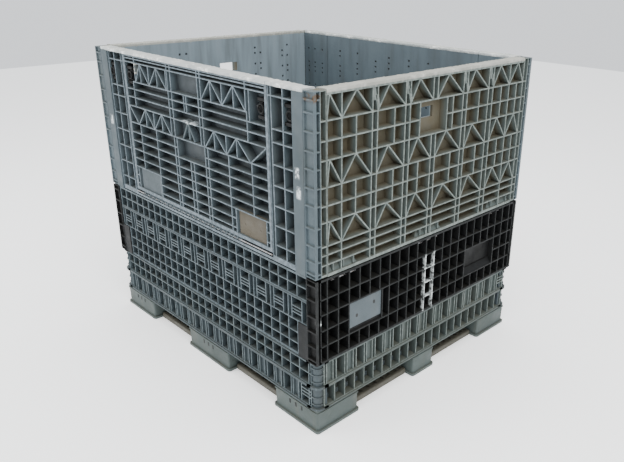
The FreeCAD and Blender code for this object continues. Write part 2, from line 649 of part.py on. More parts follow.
def make_rods(facing, axis_up):
    """Door hinge rod on the wall's outer face, and the two wall hinge pins."""
    rod = doc.addObject("Part::Cylinder", f"{facing}_door_hinge_rod")
    rod.Label = f"{facing}_door_hinge_rod"
    rod.setExpression("Radius", bound("rod_dia / 2"))
    rod.setExpression("Height", bound("2 * door_half"))
    rod.Placement = FreeCAD.Placement(Vector(0, 0, 0), FreeCAD.Rotation(Vector(0, 1, 0), 90))
    rod.setExpression("Placement.Base.x", bound("-door_half"))
    sign = "-" if facing == "front" else ""
    rod.setExpression("Placement.Base.y", bound(f"{sign}side_out"))
    rod.setExpression("Placement.Base.z", bound("wall_low + door_axis_up"))
    nodes.append(rod)
    pins = []
    for middle in ("hinge_x", "-hinge_x"):
        pin = doc.addObject("Part::Cylinder", "side_pin")
        pin.setExpression("Radius", bound("pin_dia / 2"))
        pin.setExpression("Height", bound("pin_long"))
        pin.Placement = FreeCAD.Placement(Vector(0, 0, 0), FreeCAD.Rotation(Vector(0, 1, 0), 90))
        pin.setExpression("Placement.Base.x", bound(f"{middle} - pin_long / 2"))
        pin.setExpression("Placement.Base.y", bound(f"{sign}(side_in + hinge_in)"))
        pin.setExpression("Placement.Base.z", bound(f"wall_low + {axis_up}"))
        pins.append(pin)
    make_group(f"{facing}_wall_hinge_pins", pins)


def make_end_pins(facing):
    pins = []
    sign = "-" if facing == "left" else ""
    for middle in ("-lug_reach", "0", "lug_reach"):
        pin = doc.addObject("Part::Cylinder", "end_pin")
        pin.setExpression("Radius", bound("pin_dia / 2"))
        pin.setExpression("Height", bound("pin_long"))
        pin.Placement = FreeCAD.Placement(Vector(0, 0, 0), FreeCAD.Rotation(Vector(1, 0, 0), -90))
        pin.setExpression("Placement.Base.x", bound(f"{sign}(end_in + end_axis_in)"))
        pin.setExpression("Placement.Base.y", bound(f"{middle} - pin_long / 2"))
        pin.setExpression("Placement.Base.z", bound("tier_top - end_axis_drop"))
        pins.append(pin)
    make_group(f"{facing}_wall_hinge_pins", pins)


make_base()
make_feet()
make_runners()
for side, axis_up in (("front", "front_axis"), ("rear", "rear_axis")):
    make_lower_side(side, axis_up)
    make_side_wall(side, axis_up)
    make_door(side)
    make_latches(side)
    make_rods(side, axis_up)
for side in ("right", "left"):
    make_lower_end(side)
    make_end_wall(side)
    make_end_pins(side)
doc.recompute()

# --- checks, then one STEP file for each node ---

for item in doc.Objects:
    if "Invalid" in item.State or "Error" in item.State:
        raise RuntimeError(f"{item.Name} did not compute: {item.State}")
os.makedirs("parts", exist_ok=True)
for node in nodes:
    shape = node.Shape
    if shape.isNull() or not shape.isValid():
        raise RuntimeError(f"{node.Label} has no valid shape")
    solids = len(shape.Solids)
    print(f"{node.Label:32s} {solids} solid(s) {shape.Volume / 1e6:9.3f} l {len(shape.Faces):5d} faces")
for node in nodes:
    node.Shape.exportStep(os.path.join("parts", node.Label + ".step"))
print(len(nodes), "nodes")
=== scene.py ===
import math

import bmesh
import bpy
from mathutils import Matrix, Vector, noise


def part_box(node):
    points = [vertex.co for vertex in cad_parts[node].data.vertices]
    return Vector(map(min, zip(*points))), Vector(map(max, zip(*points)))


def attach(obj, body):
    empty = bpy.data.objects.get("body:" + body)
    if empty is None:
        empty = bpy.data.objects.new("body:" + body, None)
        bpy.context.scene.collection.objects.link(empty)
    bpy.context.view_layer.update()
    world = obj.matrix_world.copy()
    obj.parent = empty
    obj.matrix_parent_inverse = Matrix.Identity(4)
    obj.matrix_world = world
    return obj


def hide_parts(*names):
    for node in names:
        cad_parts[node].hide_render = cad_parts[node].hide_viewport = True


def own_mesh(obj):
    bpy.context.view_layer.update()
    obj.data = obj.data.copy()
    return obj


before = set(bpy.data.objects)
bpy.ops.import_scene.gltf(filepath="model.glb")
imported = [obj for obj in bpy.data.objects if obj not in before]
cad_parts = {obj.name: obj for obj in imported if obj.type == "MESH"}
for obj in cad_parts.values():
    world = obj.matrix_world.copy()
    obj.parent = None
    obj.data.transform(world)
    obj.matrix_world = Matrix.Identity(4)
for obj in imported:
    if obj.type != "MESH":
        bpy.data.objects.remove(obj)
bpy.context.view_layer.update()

# Every wall piece is drawn in its own side's frame, in millimetres:
# x runs along the wall, y is up and z points out of the container.
sideTurn = {
    "front": Matrix(((1, 0, 0), (0, 0, -1), (0, 1, 0))).to_4x4(),
    "rear": Matrix(((-1, 0, 0), (0, 0, 1), (0, 1, 0))).to_4x4(),
    "right": Matrix(((0, 0, 1), (1, 0, 0), (0, 1, 0))).to_4x4(),
    "left": Matrix(((0, 0, -1), (-1, 0, 0), (0, 1, 0))).to_4x4(),
    "plan": Matrix.Identity(4),
}
everywhere = (-9999, 9999)
print("frame loaded", len(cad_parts), "nodes")


def sideBox(node, side):
    turn = sideTurn[side].inverted()
    ends = [turn @ corner * 1000 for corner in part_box(node)]
    return [(min(pair), max(pair)) for pair in zip(*ends)]


# shaping

def halfSpan(sign, near, far):
    # a stretch on the right (1) or left (-1) half, low end first
    return tuple(sorted((sign * near, sign * far)))


def onlyVerts(made):
    return [item for item in made if isinstance(item, bmesh.types.BMVert)]


def addBlock(bm, x, y, z):
    made = bmesh.ops.create_cube(bm, size=1)["verts"]
    bmesh.ops.scale(bm, vec=(x[1] - x[0], y[1] - y[0], z[1] - z[0]), verts=made)
    bmesh.ops.translate(bm, vec=(sum(x) / 2, sum(y) / 2, sum(z) / 2), verts=made)
    return made


def roundEdges(bm, edges, radius, steps):
    bmesh.ops.bevel(bm, geom=list(edges), offset=radius, segments=steps, affect="EDGES",
                    profile=0.5, material=-1, clamp_overlap=True)


def block(x, y, z, radius=0, steps=2, along=None):
    # a block with its edges rounded, or only those running along one axis
    bm = bmesh.new()
    addBlock(bm, x, y, z)
    if radius:
        edges = [e for e in bm.edges if along is None
                 or abs((e.verts[0].co - e.verts[1].co).normalized()[along]) > 0.9]
        roundEdges(bm, edges, radius, steps)
    return bm


def facesIn(bm, level, x=everywhere, y=everywhere, out=1):
    # flat faces lying at one depth of the wall, by where their middle is
    found = []
    for face in bm.faces:
        middle = face.calc_center_median()
        if face.normal.z * out > 0.99 and abs(middle.z - level) < 0.05:
            if x[0] < middle.x < x[1] and y[0] < middle.y < y[1]:
                found.append(face)
    return found


def cutFaces(bm, faces, point, along):
    edges = {edge for face in faces for edge in face.edges}
    verts = {vert for face in faces for vert in face.verts}
    bmesh.ops.bisect_plane(bm, geom=list(verts) + list(edges) + list(faces), dist=0.01,
                           plane_co=(point[0], point[1], 0), plane_no=(-along[1], along[0], 0))


def cutHeights(bm, level, heights, x=everywhere, y=everywhere):
    for height in heights:
        cutFaces(bm, facesIn(bm, level, x, y), (0, height), (1, 0))


def cutPosts(bm, level, posts, y=everywhere, x=everywhere):
    for post in posts:
        cutFaces(bm, facesIn(bm, level, x, y), (post, 0), (0, 1))


def cutStruts(bm, level, low, high, points):
    # points are (x, 0 or 1): the strut runs between the row's foot and its head
    rise = (low, high)
    for (xa, a), (xb, b) in zip(points, points[1:]):
        if a != b:
            row = facesIn(bm, level, y=(low, high))
            cutFaces(bm, row, (xa, rise[a]), (xb - xa, rise[b] - rise[a]))


def joinCells(bm, level, x, y):
    faces = facesIn(bm, level, x, y)
    if len(faces) > 1:
        bmesh.ops.dissolve_faces(bm, faces=faces, use_verts=False)


def sinkCells(bm, faces, rib, depth, edge=0.8, draft=1.5):
    # leaves ribs between the cells, with a small worn edge and some draft
    bmesh.ops.inset_individual(bm, faces=faces, thickness=rib / 2 - edge, use_even_offset=True)
    bmesh.ops.inset_individual(bm, faces=faces, thickness=edge, depth=-edge, use_even_offset=True)
    bmesh.ops.inset_individual(bm, faces=faces, thickness=draft, depth=edge - depth, use_even_offset=True)


def sinkPattern(bm, level, x, y, rib, depth, odd=(), out=1):
    groups = {}
    for face in facesIn(bm, level, x, y, out):
        middle = face.calc_center_median()
        deep = depth
        for oddX, oddY, oddDepth in odd:
            if oddX[0] < middle.x < oddX[1] and oddY[0] < middle.y < oddY[1]:
                deep = oddDepth
                break
        groups.setdefault(deep, []).append(face)
    for deep, faces in groups.items():
        if deep:
            sinkCells(bm, faces, rib, deep)


def drill(bm, level, holes, size, out, reach=9999):
    # small blind vent holes with their floors painted dark as shade: holes is a list of (column x, heights)
    for column, heights in holes:
        strip = (column - size[0] / 2, column + size[0] / 2)
        for side in strip:
            near = facesIn(bm, level, (column - reach, column + reach), out=out)
            cutFaces(bm, near, (side, 0), (0, 1))
        for height in heights:
            for side in (-0.5, 0.5):
                cutFaces(bm, facesIn(bm, level, strip, out=out), (0, height + side * size[1]), (1, 0))
        found = [f for f in facesIn(bm, level, strip, out=out)
                 if any(abs(f.calc_center_median().y - h) < size[1] / 4 for h in heights)]
        bmesh.ops.inset_individual(bm, faces=found, thickness=0.6, depth=-2.5, use_even_offset=True)
        for face in found:
            face.material_index = 1


def ridge(bm, level, height, x=everywhere, y=everywhere):
    # stands a whole band of the wall proud
    band = facesIn(bm, level, x, y)
    made = bmesh.ops.extrude_face_region(bm, geom=band)["geom"]
    bmesh.ops.delete(bm, geom=band, context="FACES_ONLY")
    bmesh.ops.translate(bm, vec=(0, 0, height), verts=onlyVerts(made))


def paintAll(bm, finish):
    for face in bm.faces:
        face.material_index = finish


class Piece:
    # shells drawn in any side's frame, gathered into one mesh

    def __init__(self, name):
        self.name = name
        self.whole = bmesh.new()

    def add(self, bm, side):
        bmesh.ops.transform(bm, matrix=Matrix.Scale(0.001, 4) @ sideTurn[side], verts=bm.verts)
        part = bpy.data.meshes.new("part")
        bm.to_mesh(part)
        bm.free()
        self.whole.from_mesh(part)
        bpy.data.meshes.remove(part)
        return self

    def finish(self, body, slot, finishes, nodes=(), smooth=None):
        mesh = bpy.data.meshes.new(self.name)
        self.whole.to_mesh(mesh)
        self.whole.free()
        if smooth:
            mesh.polygons.foreach_set("use_smooth", [True] * len(mesh.polygons))
            mesh.set_sharp_from_angle(angle=math.radians(smooth))
        piece = bpy.data.objects.new(self.name, mesh)
        bpy.context.scene.collection.objects.link(piece)
        for finish in finishes:
            mesh.materials.append(finish)
        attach(piece, body)
        if nodes:
            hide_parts(*nodes)
        return piece


# finishes, all worked out from the place on the object

def tint(code):
    shades = [int(code[i:i + 2], 16) / 255 for i in (0, 2, 4)]
    return tuple(s / 12.92 if s < 0.04045 else ((s + 0.055) / 1.055) ** 2.4 for s in shades) + (1,)


class Tree:
    # short names for the shader nodes used below

    def __init__(self, name):
        self.material = bpy.data.materials.new(name)
        self.material.use_nodes = True
        self.nodes = self.material.node_tree.nodes
        self.links = self.material.node_tree.links
        self.shader = self.nodes["Principled BSDF"]
        self.coords = self.nodes.new("ShaderNodeTexCoord")
        self.place = self.coords.outputs["Object"]

    def feed(self, socket, value):
        if isinstance(value, bpy.types.NodeSocket):
            self.links.new(value, socket)
        else:
            socket.default_value = value

    def maths(self, kind, a, b=0.0):
        node = self.nodes.new("ShaderNodeMath")
        node.operation = kind
        self.feed(node.inputs[0], a)
        self.feed(node.inputs[1], b)
        return node.outputs[0]

    def spread(self, value, low, high, toLow=0.0, toHigh=1.0):
        node = self.nodes.new("ShaderNodeMapRange")
        node.clamp = True
        self.feed(node.inputs["Value"], value)
        for name, number in (("From Min", low), ("From Max", high), ("To Min", toLow), ("To Max", toHigh)):
            node.inputs[name].default_value = number
        return node.outputs["Result"]

    def grain(self, scale, detail=3.0, stretch=None, shift=(0, 0, 0)):
        place = self.place
        if stretch or any(shift):
            mapping = self.nodes.new("ShaderNodeMapping")
            mapping.inputs["Scale"].default_value = stretch or (1, 1, 1)
            mapping.inputs["Location"].default_value = shift
            self.links.new(place, mapping.inputs["Vector"])
            place = mapping.outputs["Vector"]
        node = self.nodes.new("ShaderNodeTexNoise")
        node.inputs["Scale"].default_value = scale
        node.inputs["Detail"].default_value = detail
        self.links.new(place, node.inputs["Vector"])
        return node.outputs["Fac"]

    def blend(self, share, first, second):
        node = self.nodes.new("ShaderNodeMix")
        node.data_type = "RGBA"
        self.feed(node.inputs["Factor"], share)
        self.feed(node.inputs["A"], first)
        self.feed(node.inputs["B"], second)
        return node.outputs["Result"]

    def axes(self, socket):
        node = self.nodes.new("ShaderNodeSeparateXYZ")
        self.links.new(socket, node.inputs[0])
        return node.outputs

    def patch(self, middle, reach, soft):
        # 1 inside a box round a place on the object, 0 outside it, in metres
        share = None
        for axis, at, far in zip(self.axes(self.place), middle, reach):
            away = self.maths("ABSOLUTE", self.maths("SUBTRACT", axis, at))
            inside = self.spread(away, far - soft, far + soft, 1.0, 0.0)
            share = inside if share is None else self.maths("MULTIPLY", share, inside)
        return share

    def roughen(self, fine, coarse, strength, depth=0.0006):
        bump = self.nodes.new("ShaderNodeBump")
        bump.inputs["Strength"].default_value = strength
        bump.inputs["Distance"].default_value = depth
        dents = self.maths("MULTIPLY", self.grain(coarse, 4.0), 1.6)
        height = self.maths("ADD", self.grain(fine, 2.0), dents)
        self.links.new(height, bump.inputs["Height"])
        self.links.new(bump.outputs["Normal"], self.shader.inputs["Normal"])


plasticLook = {
    "wornHighlightWidth": 0.0022,    # how far down a rib its pale edge reaches: wear and painted highlight
    "floorFrom": 0.010,     # pocket floors take dirt and painted shade between these depths
    "floorTo": 0.030,
    "floorEnd": 0.0445,     # the smooth inner skin lies deeper than this
    "grainFine": 900.0,
    "grainCoarse": 160.0,
    "bump": 0.22,
    "roughLow": 0.5,
    "roughHigh": 0.8,
    "markSoft": 0.004,      # how softly scuffs, paint and stains end
}


def wornPlastic(name, base, other, wornAndHighlight, dirtAndShade, dust, axis=None, faceAt=0.0, wornAndHighlightShare=0.7,
                dirtAndShadeShare=0.6, dustShare=0.4, inner=None, shine=0.38, marks=()):
    tree = Tree(name)
    look = plasticLook
    broad = tree.grain(3.2, 4.0)
    cloudy = tree.grain(19.0, 5.0, shift=(3, 1, 7))
    patchy = tree.grain(70.0, 6.0, shift=(1, 5, 2))
    streaks = tree.grain(26.0, 4.0, stretch=(1.0, 1.0, 0.12), shift=(2, 9, 4))
    colour = tree.blend(tree.spread(broad, 0.35, 0.65), tint(base), tint(other))
    chipsAndHighlight = tree.spread(patchy, 0.42, 0.62, wornAndHighlightShare * 0.35, wornAndHighlightShare)
    if axis is not None:
        along = tree.maths("ABSOLUTE", tree.axes(tree.place)[axis])
        depth = tree.maths("SUBTRACT", faceAt, along)
        # pocket floors are tinted with the dirt colour by depth: part real dirt, part painted shade in the
        # recesses
        floor = tree.maths("MULTIPLY", tree.spread(depth, look["floorFrom"], look["floorTo"]),
                           tree.spread(depth, look["floorEnd"], look["floorEnd"] + 0.001, 1.0, 0.0))
        floorDirtAndShade = tree.maths("MULTIPLY", floor, tree.spread(cloudy, 0.25, 0.6, dirtAndShadeShare * 0.75, dirtAndShadeShare))
        colour = tree.blend(floorDirtAndShade, colour, tint(dirtAndShade))
        if inner:
            behind = tree.spread(depth, look["floorEnd"], look["floorEnd"] + 0.001)
            lining = tree.blend(tree.spread(streaks, 0.4, 0.7), tint(inner[0]), tint(inner[1]))
            colour = tree.blend(behind, colour, lining)
        # rib tops near the outer face keep the pale worn colour: wear and painted highlight on the rib edges
        chipsAndHighlight = tree.maths("MULTIPLY", chipsAndHighlight, tree.spread(depth, 0.0, look["wornHighlightWidth"], 1.0, 0.0))
        chipsAndHighlight = tree.maths("MULTIPLY", chipsAndHighlight, tree.spread(depth, -0.0012, -0.0004))
    else:
        colour = tree.blend(tree.spread(cloudy, 0.5, 0.85, 0.0, dirtAndShadeShare), colour, tint(dirtAndShade))
        chipsAndHighlight = tree.maths("MULTIPLY", chipsAndHighlight, tree.spread(cloudy, 0.48, 0.7))
    colour = tree.blend(tree.spread(streaks, 0.52, 0.8, 0.0, dustShare * 0.7), colour, tint(dust))
    colour = tree.blend(chipsAndHighlight, colour, tint(wornAndHighlight))
    up = tree.spread(tree.axes(tree.coords.outputs["Normal"])[2], 0.6, 0.95)
    settled = tree.maths("MULTIPLY", up, tree.spread(cloudy, 0.3, 0.6, dustShare * 0.5, dustShare))
    colour = tree.blend(settled, colour, tint(dust))
    for middle, reach, shade, share in marks:
        smear = tree.spread(patchy, 0.42, 0.56, 0.1, share)
        inside = tree.patch(middle, reach, look["markSoft"])
        colour = tree.blend(tree.maths("MULTIPLY", inside, smear), colour, tint(shade))
    tree.links.new(colour, tree.shader.inputs["Base Color"])
    tree.links.new(tree.spread(cloudy, 0.3, 0.7, look["roughLow"], look["roughHigh"]),
                   tree.shader.inputs["Roughness"])
    tree.shader.inputs["Specular IOR Level"].default_value = shine
    tree.roughen(look["grainFine"], look["grainCoarse"], look["bump"])
    return tree.material


def makePlastics():
    # each entry's marks are (middle, reach, shade, share) in metres on the object
    side = sideBox("front_lower_panel", "front")[2][1] / 1000
    end = sideBox("right_wall", "right")[2][1] / 1000
    baseSide = sideBox("base", "front")[2][1] / 1000 - 0.006
    baseEnd = sideBox("base", "right")[2][1] / 1000 - 0.006
    scuffs = (((0.646, -0.609, 0.93), (0.010, 0.01, 0.020), "d5dcde", 0.9),
              ((0.640, -0.609, 0.995), (0.009, 0.01, 0.018), "d5dcde", 0.9),
              ((-0.646, -0.609, 0.955), (0.01, 0.01, 0.02), "d5dcde", 0.9),
              ((-0.01, -0.6, 1.047), (0.05, 0.03, 0.007), "c9d1d3", 0.9),
              ((-0.402, -0.6, 1.205), (0.016, 0.03, 0.020), "d8d8cc", 1.0))
    paint = [((0.724, at, 0.43), (0.012, 0.0045, 0.125), "c9cfce", 1.0) for at in (-0.0265, 0.0265)]
    paint += [((0.724, 0, high), (0.012, 0.03, 0.0045), "c9cfce", 1.0) for high in (0.368, 0.432, 0.495)]
    paint += [((0.724, -0.585, 0.47), (0.02, 0.010, 0.010), "c4c9c7", 0.9)]
    gray = dict(base="444f54", other="3c464a", wornAndHighlight="75818a", dirtAndShade="2f3133", dust="4c4c45")
    # the lower panels use a darker copy of the wall gray: painted shade of their deep pockets
    shadedLowGray = dict(gray, base="354045", other="2f383c", wornAndHighlight="5f6b71", dirtAndShade="25292b", dust="3e3f39")
    return {
        "side": wornPlastic("grayRibbedPlastic", **gray, axis=1, faceAt=side, dirtAndShadeShare=0.6,
                            inner=("515d63", "465157"), marks=scuffs),
        "lower": wornPlastic("shadedLowerRibbedPlastic", **shadedLowGray, axis=1, faceAt=side, dirtAndShadeShare=0.6,
                             inner=("515d63", "465157")),
        "end": wornPlastic("dustyRibbedPlastic", base="4b5452", other="434b48", wornAndHighlight="7c847f", dirtAndShade="4f4837",
                           dust="575141", axis=0, faceAt=end, dirtAndShadeShare=0.95, inner=("76838a", "66737a")),
        "black": wornPlastic("blackRibbedPlastic", base="0e0f10", other="0a0b0b", wornAndHighlight="2c2f2f",
                             dirtAndShade="070706", dust="201f1a", axis=0, faceAt=end, wornAndHighlightShare=0.5, dustShare=0.4,
                             inner=("1c1e1f", "171819"), shine=0.18, marks=paint),
        "baseSide": wornPlastic("grayBasePlastic", base="394448", other="333c40", wornAndHighlight="657174",
                                dirtAndShade="232725", dust="444339", axis=1, faceAt=baseSide, wornAndHighlightShare=0.6),
        "baseEnd": wornPlastic("dustyBasePlastic", base="454e4d", other="3d4542", wornAndHighlight="727b77",
                               dirtAndShade="2e2f27", dust="514e40", axis=0, faceAt=baseEnd, wornAndHighlightShare=0.6),
        "foot": wornPlastic("footPlastic", base="454f4d", other="3c4543", wornAndHighlight="69726e", dirtAndShade="302f28",
                            dust="545142", dirtAndShadeShare=0.4, wornAndHighlightShare=0.25),
        "floor": wornPlastic("grayFloorPlastic", base="414a4e", other="394144", wornAndHighlight="5f6868", dirtAndShade="35332b",
                             dust="4e4b3f", dirtAndShadeShare=0.6, wornAndHighlightShare=0.3),
        "rim": wornPlastic("wornRim", base="b4b9b8", other="8f9594", wornAndHighlight="eceeeb", dirtAndShade="42433e",
                           dust="96948a", dirtAndShadeShare=0.85, wornAndHighlightShare=1.0),
        "endRim": wornPlastic("sunBleachedRim", base="969790", other="81827b", wornAndHighlight="c2c3bd", dirtAndShade="57564e",
                              dust="8c897c", dirtAndShadeShare=0.6, wornAndHighlightShare=0.7),
        "corner": wornPlastic("cornerPlastic", base="465359", other="3e494e", wornAndHighlight="77848a", dirtAndShade="2c2f2c",
                              dust="505047", wornAndHighlightShare=0.2, dirtAndShadeShare=0.35,
                              marks=(((0.7, -0.6, 1.246), (0.03, 0.03, 0.012), "4c371f", 0.9),)),
        "latch": wornPlastic("latchPlastic", base="0f1011", other="0c0d0d", wornAndHighlight="262828", dirtAndShade="090807",
                             dust="1d1b17", wornAndHighlightShare=0.15, dirtAndShadeShare=0.5, dustShare=0.3, shine=0.2),
        # the beige and pale plate colours are their own hues, darkened further as painted shade of the
        # recesses they sit in
        "beige": wornPlastic("beigePlate", base="4c4639", other="443e32", wornAndHighlight="665f50", dirtAndShade="373226",
                             dust="4d4839", wornAndHighlightShare=0.15, dirtAndShadeShare=0.45),
        "pale": wornPlastic("palePlate", base="465055", other="3e474b", wornAndHighlight="6a7476", dirtAndShade="303533",
                            dust="4c4d46", wornAndHighlightShare=0.2, dirtAndShadeShare=0.35),
        "runner": wornPlastic("dustyRunner", base="4d4b42", other="434139", wornAndHighlight="66645a", dirtAndShade="35322a",
                              dust="5d594c", wornAndHighlightShare=0.3, dirtAndShadeShare=0.6),
        # near-black for vent holes, slots and narrow gaps: painted shade where openings look dark
        "hole": wornPlastic("ventHoleShade", base="141414", other="101010", wornAndHighlight="1c1c1c", dirtAndShade="0c0c0c",
                            dust="1a1a18", wornAndHighlightShare=0.1, dirtAndShadeShare=0.3, dustShare=0.1),
    }


def makeSteel():
    tree = Tree("dullSteel")
    rust = tree.spread(tree.grain(240.0, 5.0), 0.5, 0.72)
    colour = tree.blend(rust, tint("8d8f90"), tint("6b4a33"))
    tree.links.new(colour, tree.shader.inputs["Base Color"])
    tree.shader.inputs["Metallic"].default_value = 0.85
    tree.links.new(tree.spread(rust, 0.0, 1.0, 0.36, 0.75), tree.shader.inputs["Roughness"])
    tree.roughen(1400.0, 300.0, 0.15)
    return tree.material


plastics = makePlastics()
steel = makeSteel()
print("finishes made")

# pallet base
baseShape = {
    "flange": 6,                    # how far the three flanges stand proud
    "flanges": ((100, 106), (190, 200), (294, 300)),
    "lowRow": (106, 190),
    "highRow": (200, 294),
    "highSplit": 247,
    "wall": 54,
    "corner": 38,
    "rib": 5,
    "cellPitch": 51.7,
    "groupPitch": 103.4,
    "group": (12, 44, 60),          # ribs inside a group, from its left end
    "groupDepths": (9, 24),
    "ladder": (34, 48, 62),
    "ladderDepth": 22,
    "depth": 40,
    "columnBack": 11,
    "fins": (118, 148, 214, 244, 272),
    "finThick": 4,
    "finBack": 7,
    "deck": (101, 130),
    "deckMargin": 20,
    "deckCells": (12, 10),
    "deckRib": 26,
    "deckDepth": 3,
}


def baseStrip(half, faceOut, isEnd):
    s = baseShape
    bm = bmesh.new()
    foot, head = s["flanges"][0], s["flanges"][2]
    addBlock(bm, (-half, half), (foot[0], head[1]), (faceOut - s["wall"], faceOut))
    level = faceOut
    cutHeights(bm, level, s["lowRow"] + (s["highRow"][0], s["highSplit"], s["highRow"][1]))
    if isEnd:
        joinCells(bm, level, everywhere, s["highRow"])
    count = int(2 * half / s["groupPitch"])
    start = -count * s["groupPitch"] / 2
    odd = []
    groups, cells = (s["highRow"], s["lowRow"]) if isEnd else (s["lowRow"], s["highRow"])
    cutPosts(bm, level, [start + s["cellPitch"] * k for k in range(2 * count + 1)], y=cells)
    for k in range(count + 1):
        left = start + k * s["groupPitch"]
        ribs = [left + step for step in s["group"]]
        cutPosts(bm, level, [left] + ribs, y=groups)
        odd.append(((ribs[0], ribs[1]), groups, s["groupDepths"][0]))
        odd.append(((ribs[1], ribs[2]), groups, s["groupDepths"][1]))
        if k % 2 == 0:
            low = groups[0]
            box = (ribs[2], left + s["groupPitch"])
            cutHeights(bm, level, [low + step for step in s["ladder"]], x=box, y=groups)
            odd.append((box, (low, low + s["ladder"][0]), s["ladderDepth"]))
    odd.append((everywhere, s["flanges"][1], None))
    sinkPattern(bm, level, (-half + 6, half - 6), (foot[1], head[0]), s["rib"], s["depth"], odd)
    for low, high in s["flanges"]:
        ridge(bm, level, s["flange"], y=(low, high))
    return bm


def cornerBlock(signs, half, reach, heights, inset, back, radius, steps):
    # stands past both faces' ends (half), short of the base's own edges (reach), rounded outside
    bm = bmesh.new()
    x, y = [halfSpan(sign, h - inset, r - back) for sign, h, r in zip(signs, half, reach)]
    addBlock(bm, x, y, heights)
    outer = [e for e in bm.edges if all(abs(v.co.x) > half[0] and abs(v.co.y) > half[1] for v in e.verts)]
    roundEdges(bm, outer, radius, steps)
    return bm


def makeBase():
    s = baseShape
    x, y, z = sideBox("base", "front")
    endX = sideBox("base", "right")
    piece = Piece("palletBase")
    longHalf = x[1] - s["corner"]
    shortHalf = endX[0][1] - s["corner"]
    for side in ("front", "rear"):
        piece.add(baseStrip(longHalf, z[1] - s["flange"], False), side)
    for side in ("right", "left"):
        strip = baseStrip(shortHalf, endX[2][1] - s["flange"], True)
        paintAll(strip, 1)
        piece.add(strip, side)
    half = (longHalf, shortHalf)
    reach = (x[1], endX[0][1])
    for sx in (1, -1):
        for sy in (1, -1):
            # rounded flanges, a recessed round column and short fins between them
            for heights in s["flanges"]:
                piece.add(cornerBlock((sx, sy), half, reach, heights, 20, 0, 30, 5), "plan")
            column = (s["flanges"][0][0], s["flanges"][2][1])
            piece.add(cornerBlock((sx, sy), half, reach, column, 20, s["columnBack"], 20, 5), "plan")
            for low in s["fins"]:
                fin = (low, low + s["finThick"])
                piece.add(cornerBlock((sx, sy), half, reach, fin, 4, s["finBack"], 24, 4), "plan")
    piece.finish("base_frame", "gray_plastic", [plastics["baseSide"], plastics["baseEnd"]], ["base"])
    deck = bmesh.new()
    addBlock(deck, (-longHalf, longHalf), (-shortHalf, shortHalf), s["deck"])
    top = s["deck"][1]
    far = (longHalf - s["deckMargin"], shortHalf - s["deckMargin"])
    lines = [[-edge + 2 * edge * k / cells for k in range(cells + 1)]
             for edge, cells in zip(far, s["deckCells"])]
    cutPosts(deck, top, lines[0])
    cutHeights(deck, top, lines[1])
    sinkPattern(deck, top, (-far[0], far[0]), (-far[1], far[1]), s["deckRib"], s["deckDepth"])
    Piece("deckFloor").add(deck, "plan").finish("base_frame", "gray_plastic", [plastics["floor"]])


makeBase()
print("base made")

# feet and runners
footShape = {
    "sole": 12,
    "lip": 6,
    "radius": 12,
    "draft": 0.985,
    "rib": (16, 10),              # the rib round the top, measured down from it
    "ribProud": 3,
    "slot": (42, 24),             # the drain slots, measured down from the top
    "slotHalf": 4,
    "slotPitch": 34,
}


def makeFoot(node):
    s = footShape
    x, y, z = sideBox(node, "plan")
    piece = Piece(node + "_block")
    plate = block(x, y, (z[0], z[0] + s["sole"]), s["radius"], 4, along=2)
    roundEdges(plate, [e for e in plate.edges if all(v.co.z < 0.5 for v in e.verts)], 3, 2)
    piece.add(plate, "plan")
    x2, y2 = [(a[0] + s["lip"], a[1] - s["lip"]) for a in (x, y)]
    body = block(x2, y2, (z[0] + 6, z[1]), s["radius"] - 4, 4, along=2)
    # four faces get a shallow draft towards the sole
    low = [v for v in body.verts if v.co.z < z[0] + 10]
    bmesh.ops.scale(body, vec=(s["draft"], s["draft"], 1), verts=low,
                    space=Matrix.Translation((-sum(x) / 2, -sum(y) / 2, 0)))
    piece.add(body, "plan")
    # a rib round the top, and short drain slots in the long faces, drawn as thin plates painted dark as shade
    x3, y3 = [(a[0] - s["ribProud"], a[1] + s["ribProud"]) for a in (x2, y2)]
    rib = (z[1] - s["rib"][0], z[1] - s["rib"][1])
    piece.add(block(x3, y3, rib, s["radius"] - 2, 4, along=2), "plan")
    heights = (z[1] - s["slot"][0], z[1] - s["slot"][1])
    for out in y2:
        for step in (-1, 0, 1):
            at = sum(x2) / 2 + step * s["slotPitch"]
            slot = block((at - s["slotHalf"], at + s["slotHalf"]), (out - 0.6, out + 0.6), heights, 0.5, 1)
            paintAll(slot, 1)
            piece.add(slot, "plan")
    piece.finish("base_frame", "gray_plastic", [plastics["foot"], plastics["hole"]], [node], smooth=35)


runnerShape = {"radius": 5, "rib": 6, "pitch": 42, "depth": 9, "margin": 12}


def makeRunner(node):
    s = runnerShape
    x, y, z = sideBox(node, "plan")
    bm = block(x, y, z, s["radius"], 2)
    top = max(f.calc_center_median().z for f in bm.faces)
    long = 0 if x[1] - x[0] > y[1] - y[0] else 1
    span = (x, y)[long]
    count = int((span[1] - span[0] - 2 * s["margin"]) / s["pitch"])
    first = sum(span) / 2 - count * s["pitch"] / 2
    lines = [first + k * s["pitch"] for k in range(count + 1)]
    rim = [(low + s["margin"], high - s["margin"]) for low, high in (x, y)]
    cutPosts(bm, top, rim[0] if long else lines)
    cutHeights(bm, top, lines if long else rim[1])
    sinkPattern(bm, top, rim[0], rim[1], s["rib"], s["depth"])
    piece = Piece(node + "_board").add(bm, "plan")
    piece.finish("base_frame", "runner_plastic", [plastics["runner"]], [node])


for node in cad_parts:
    if node.startswith("foot_"):
        makeFoot(node)
    if node.startswith("runner_"):
        makeRunner(node)
print("feet and runners made")

# lower long sides
lowerShape = {
    "rib": 5,
    "depth": 40,
    "pitch": 51.7,
    "rows": (306, 346, 392, 442, 531, 539, 585, 626),
    "lowCells": (306, 442),
    "band": (442, 531),          # grouped pockets with ladders
    "ledge": (531, 539),
    "highCells": (539, 626),
    "top": 632,
    "group": (20, 27),           # ribs inside a group, from its two ends
    "groupDepths": (10, 20, 28),
    "ladder": (470, 482, 495),
    "tab": 50,                   # the end panel's tabs lie over the outermost cells
    "tabDepth": 12,
}


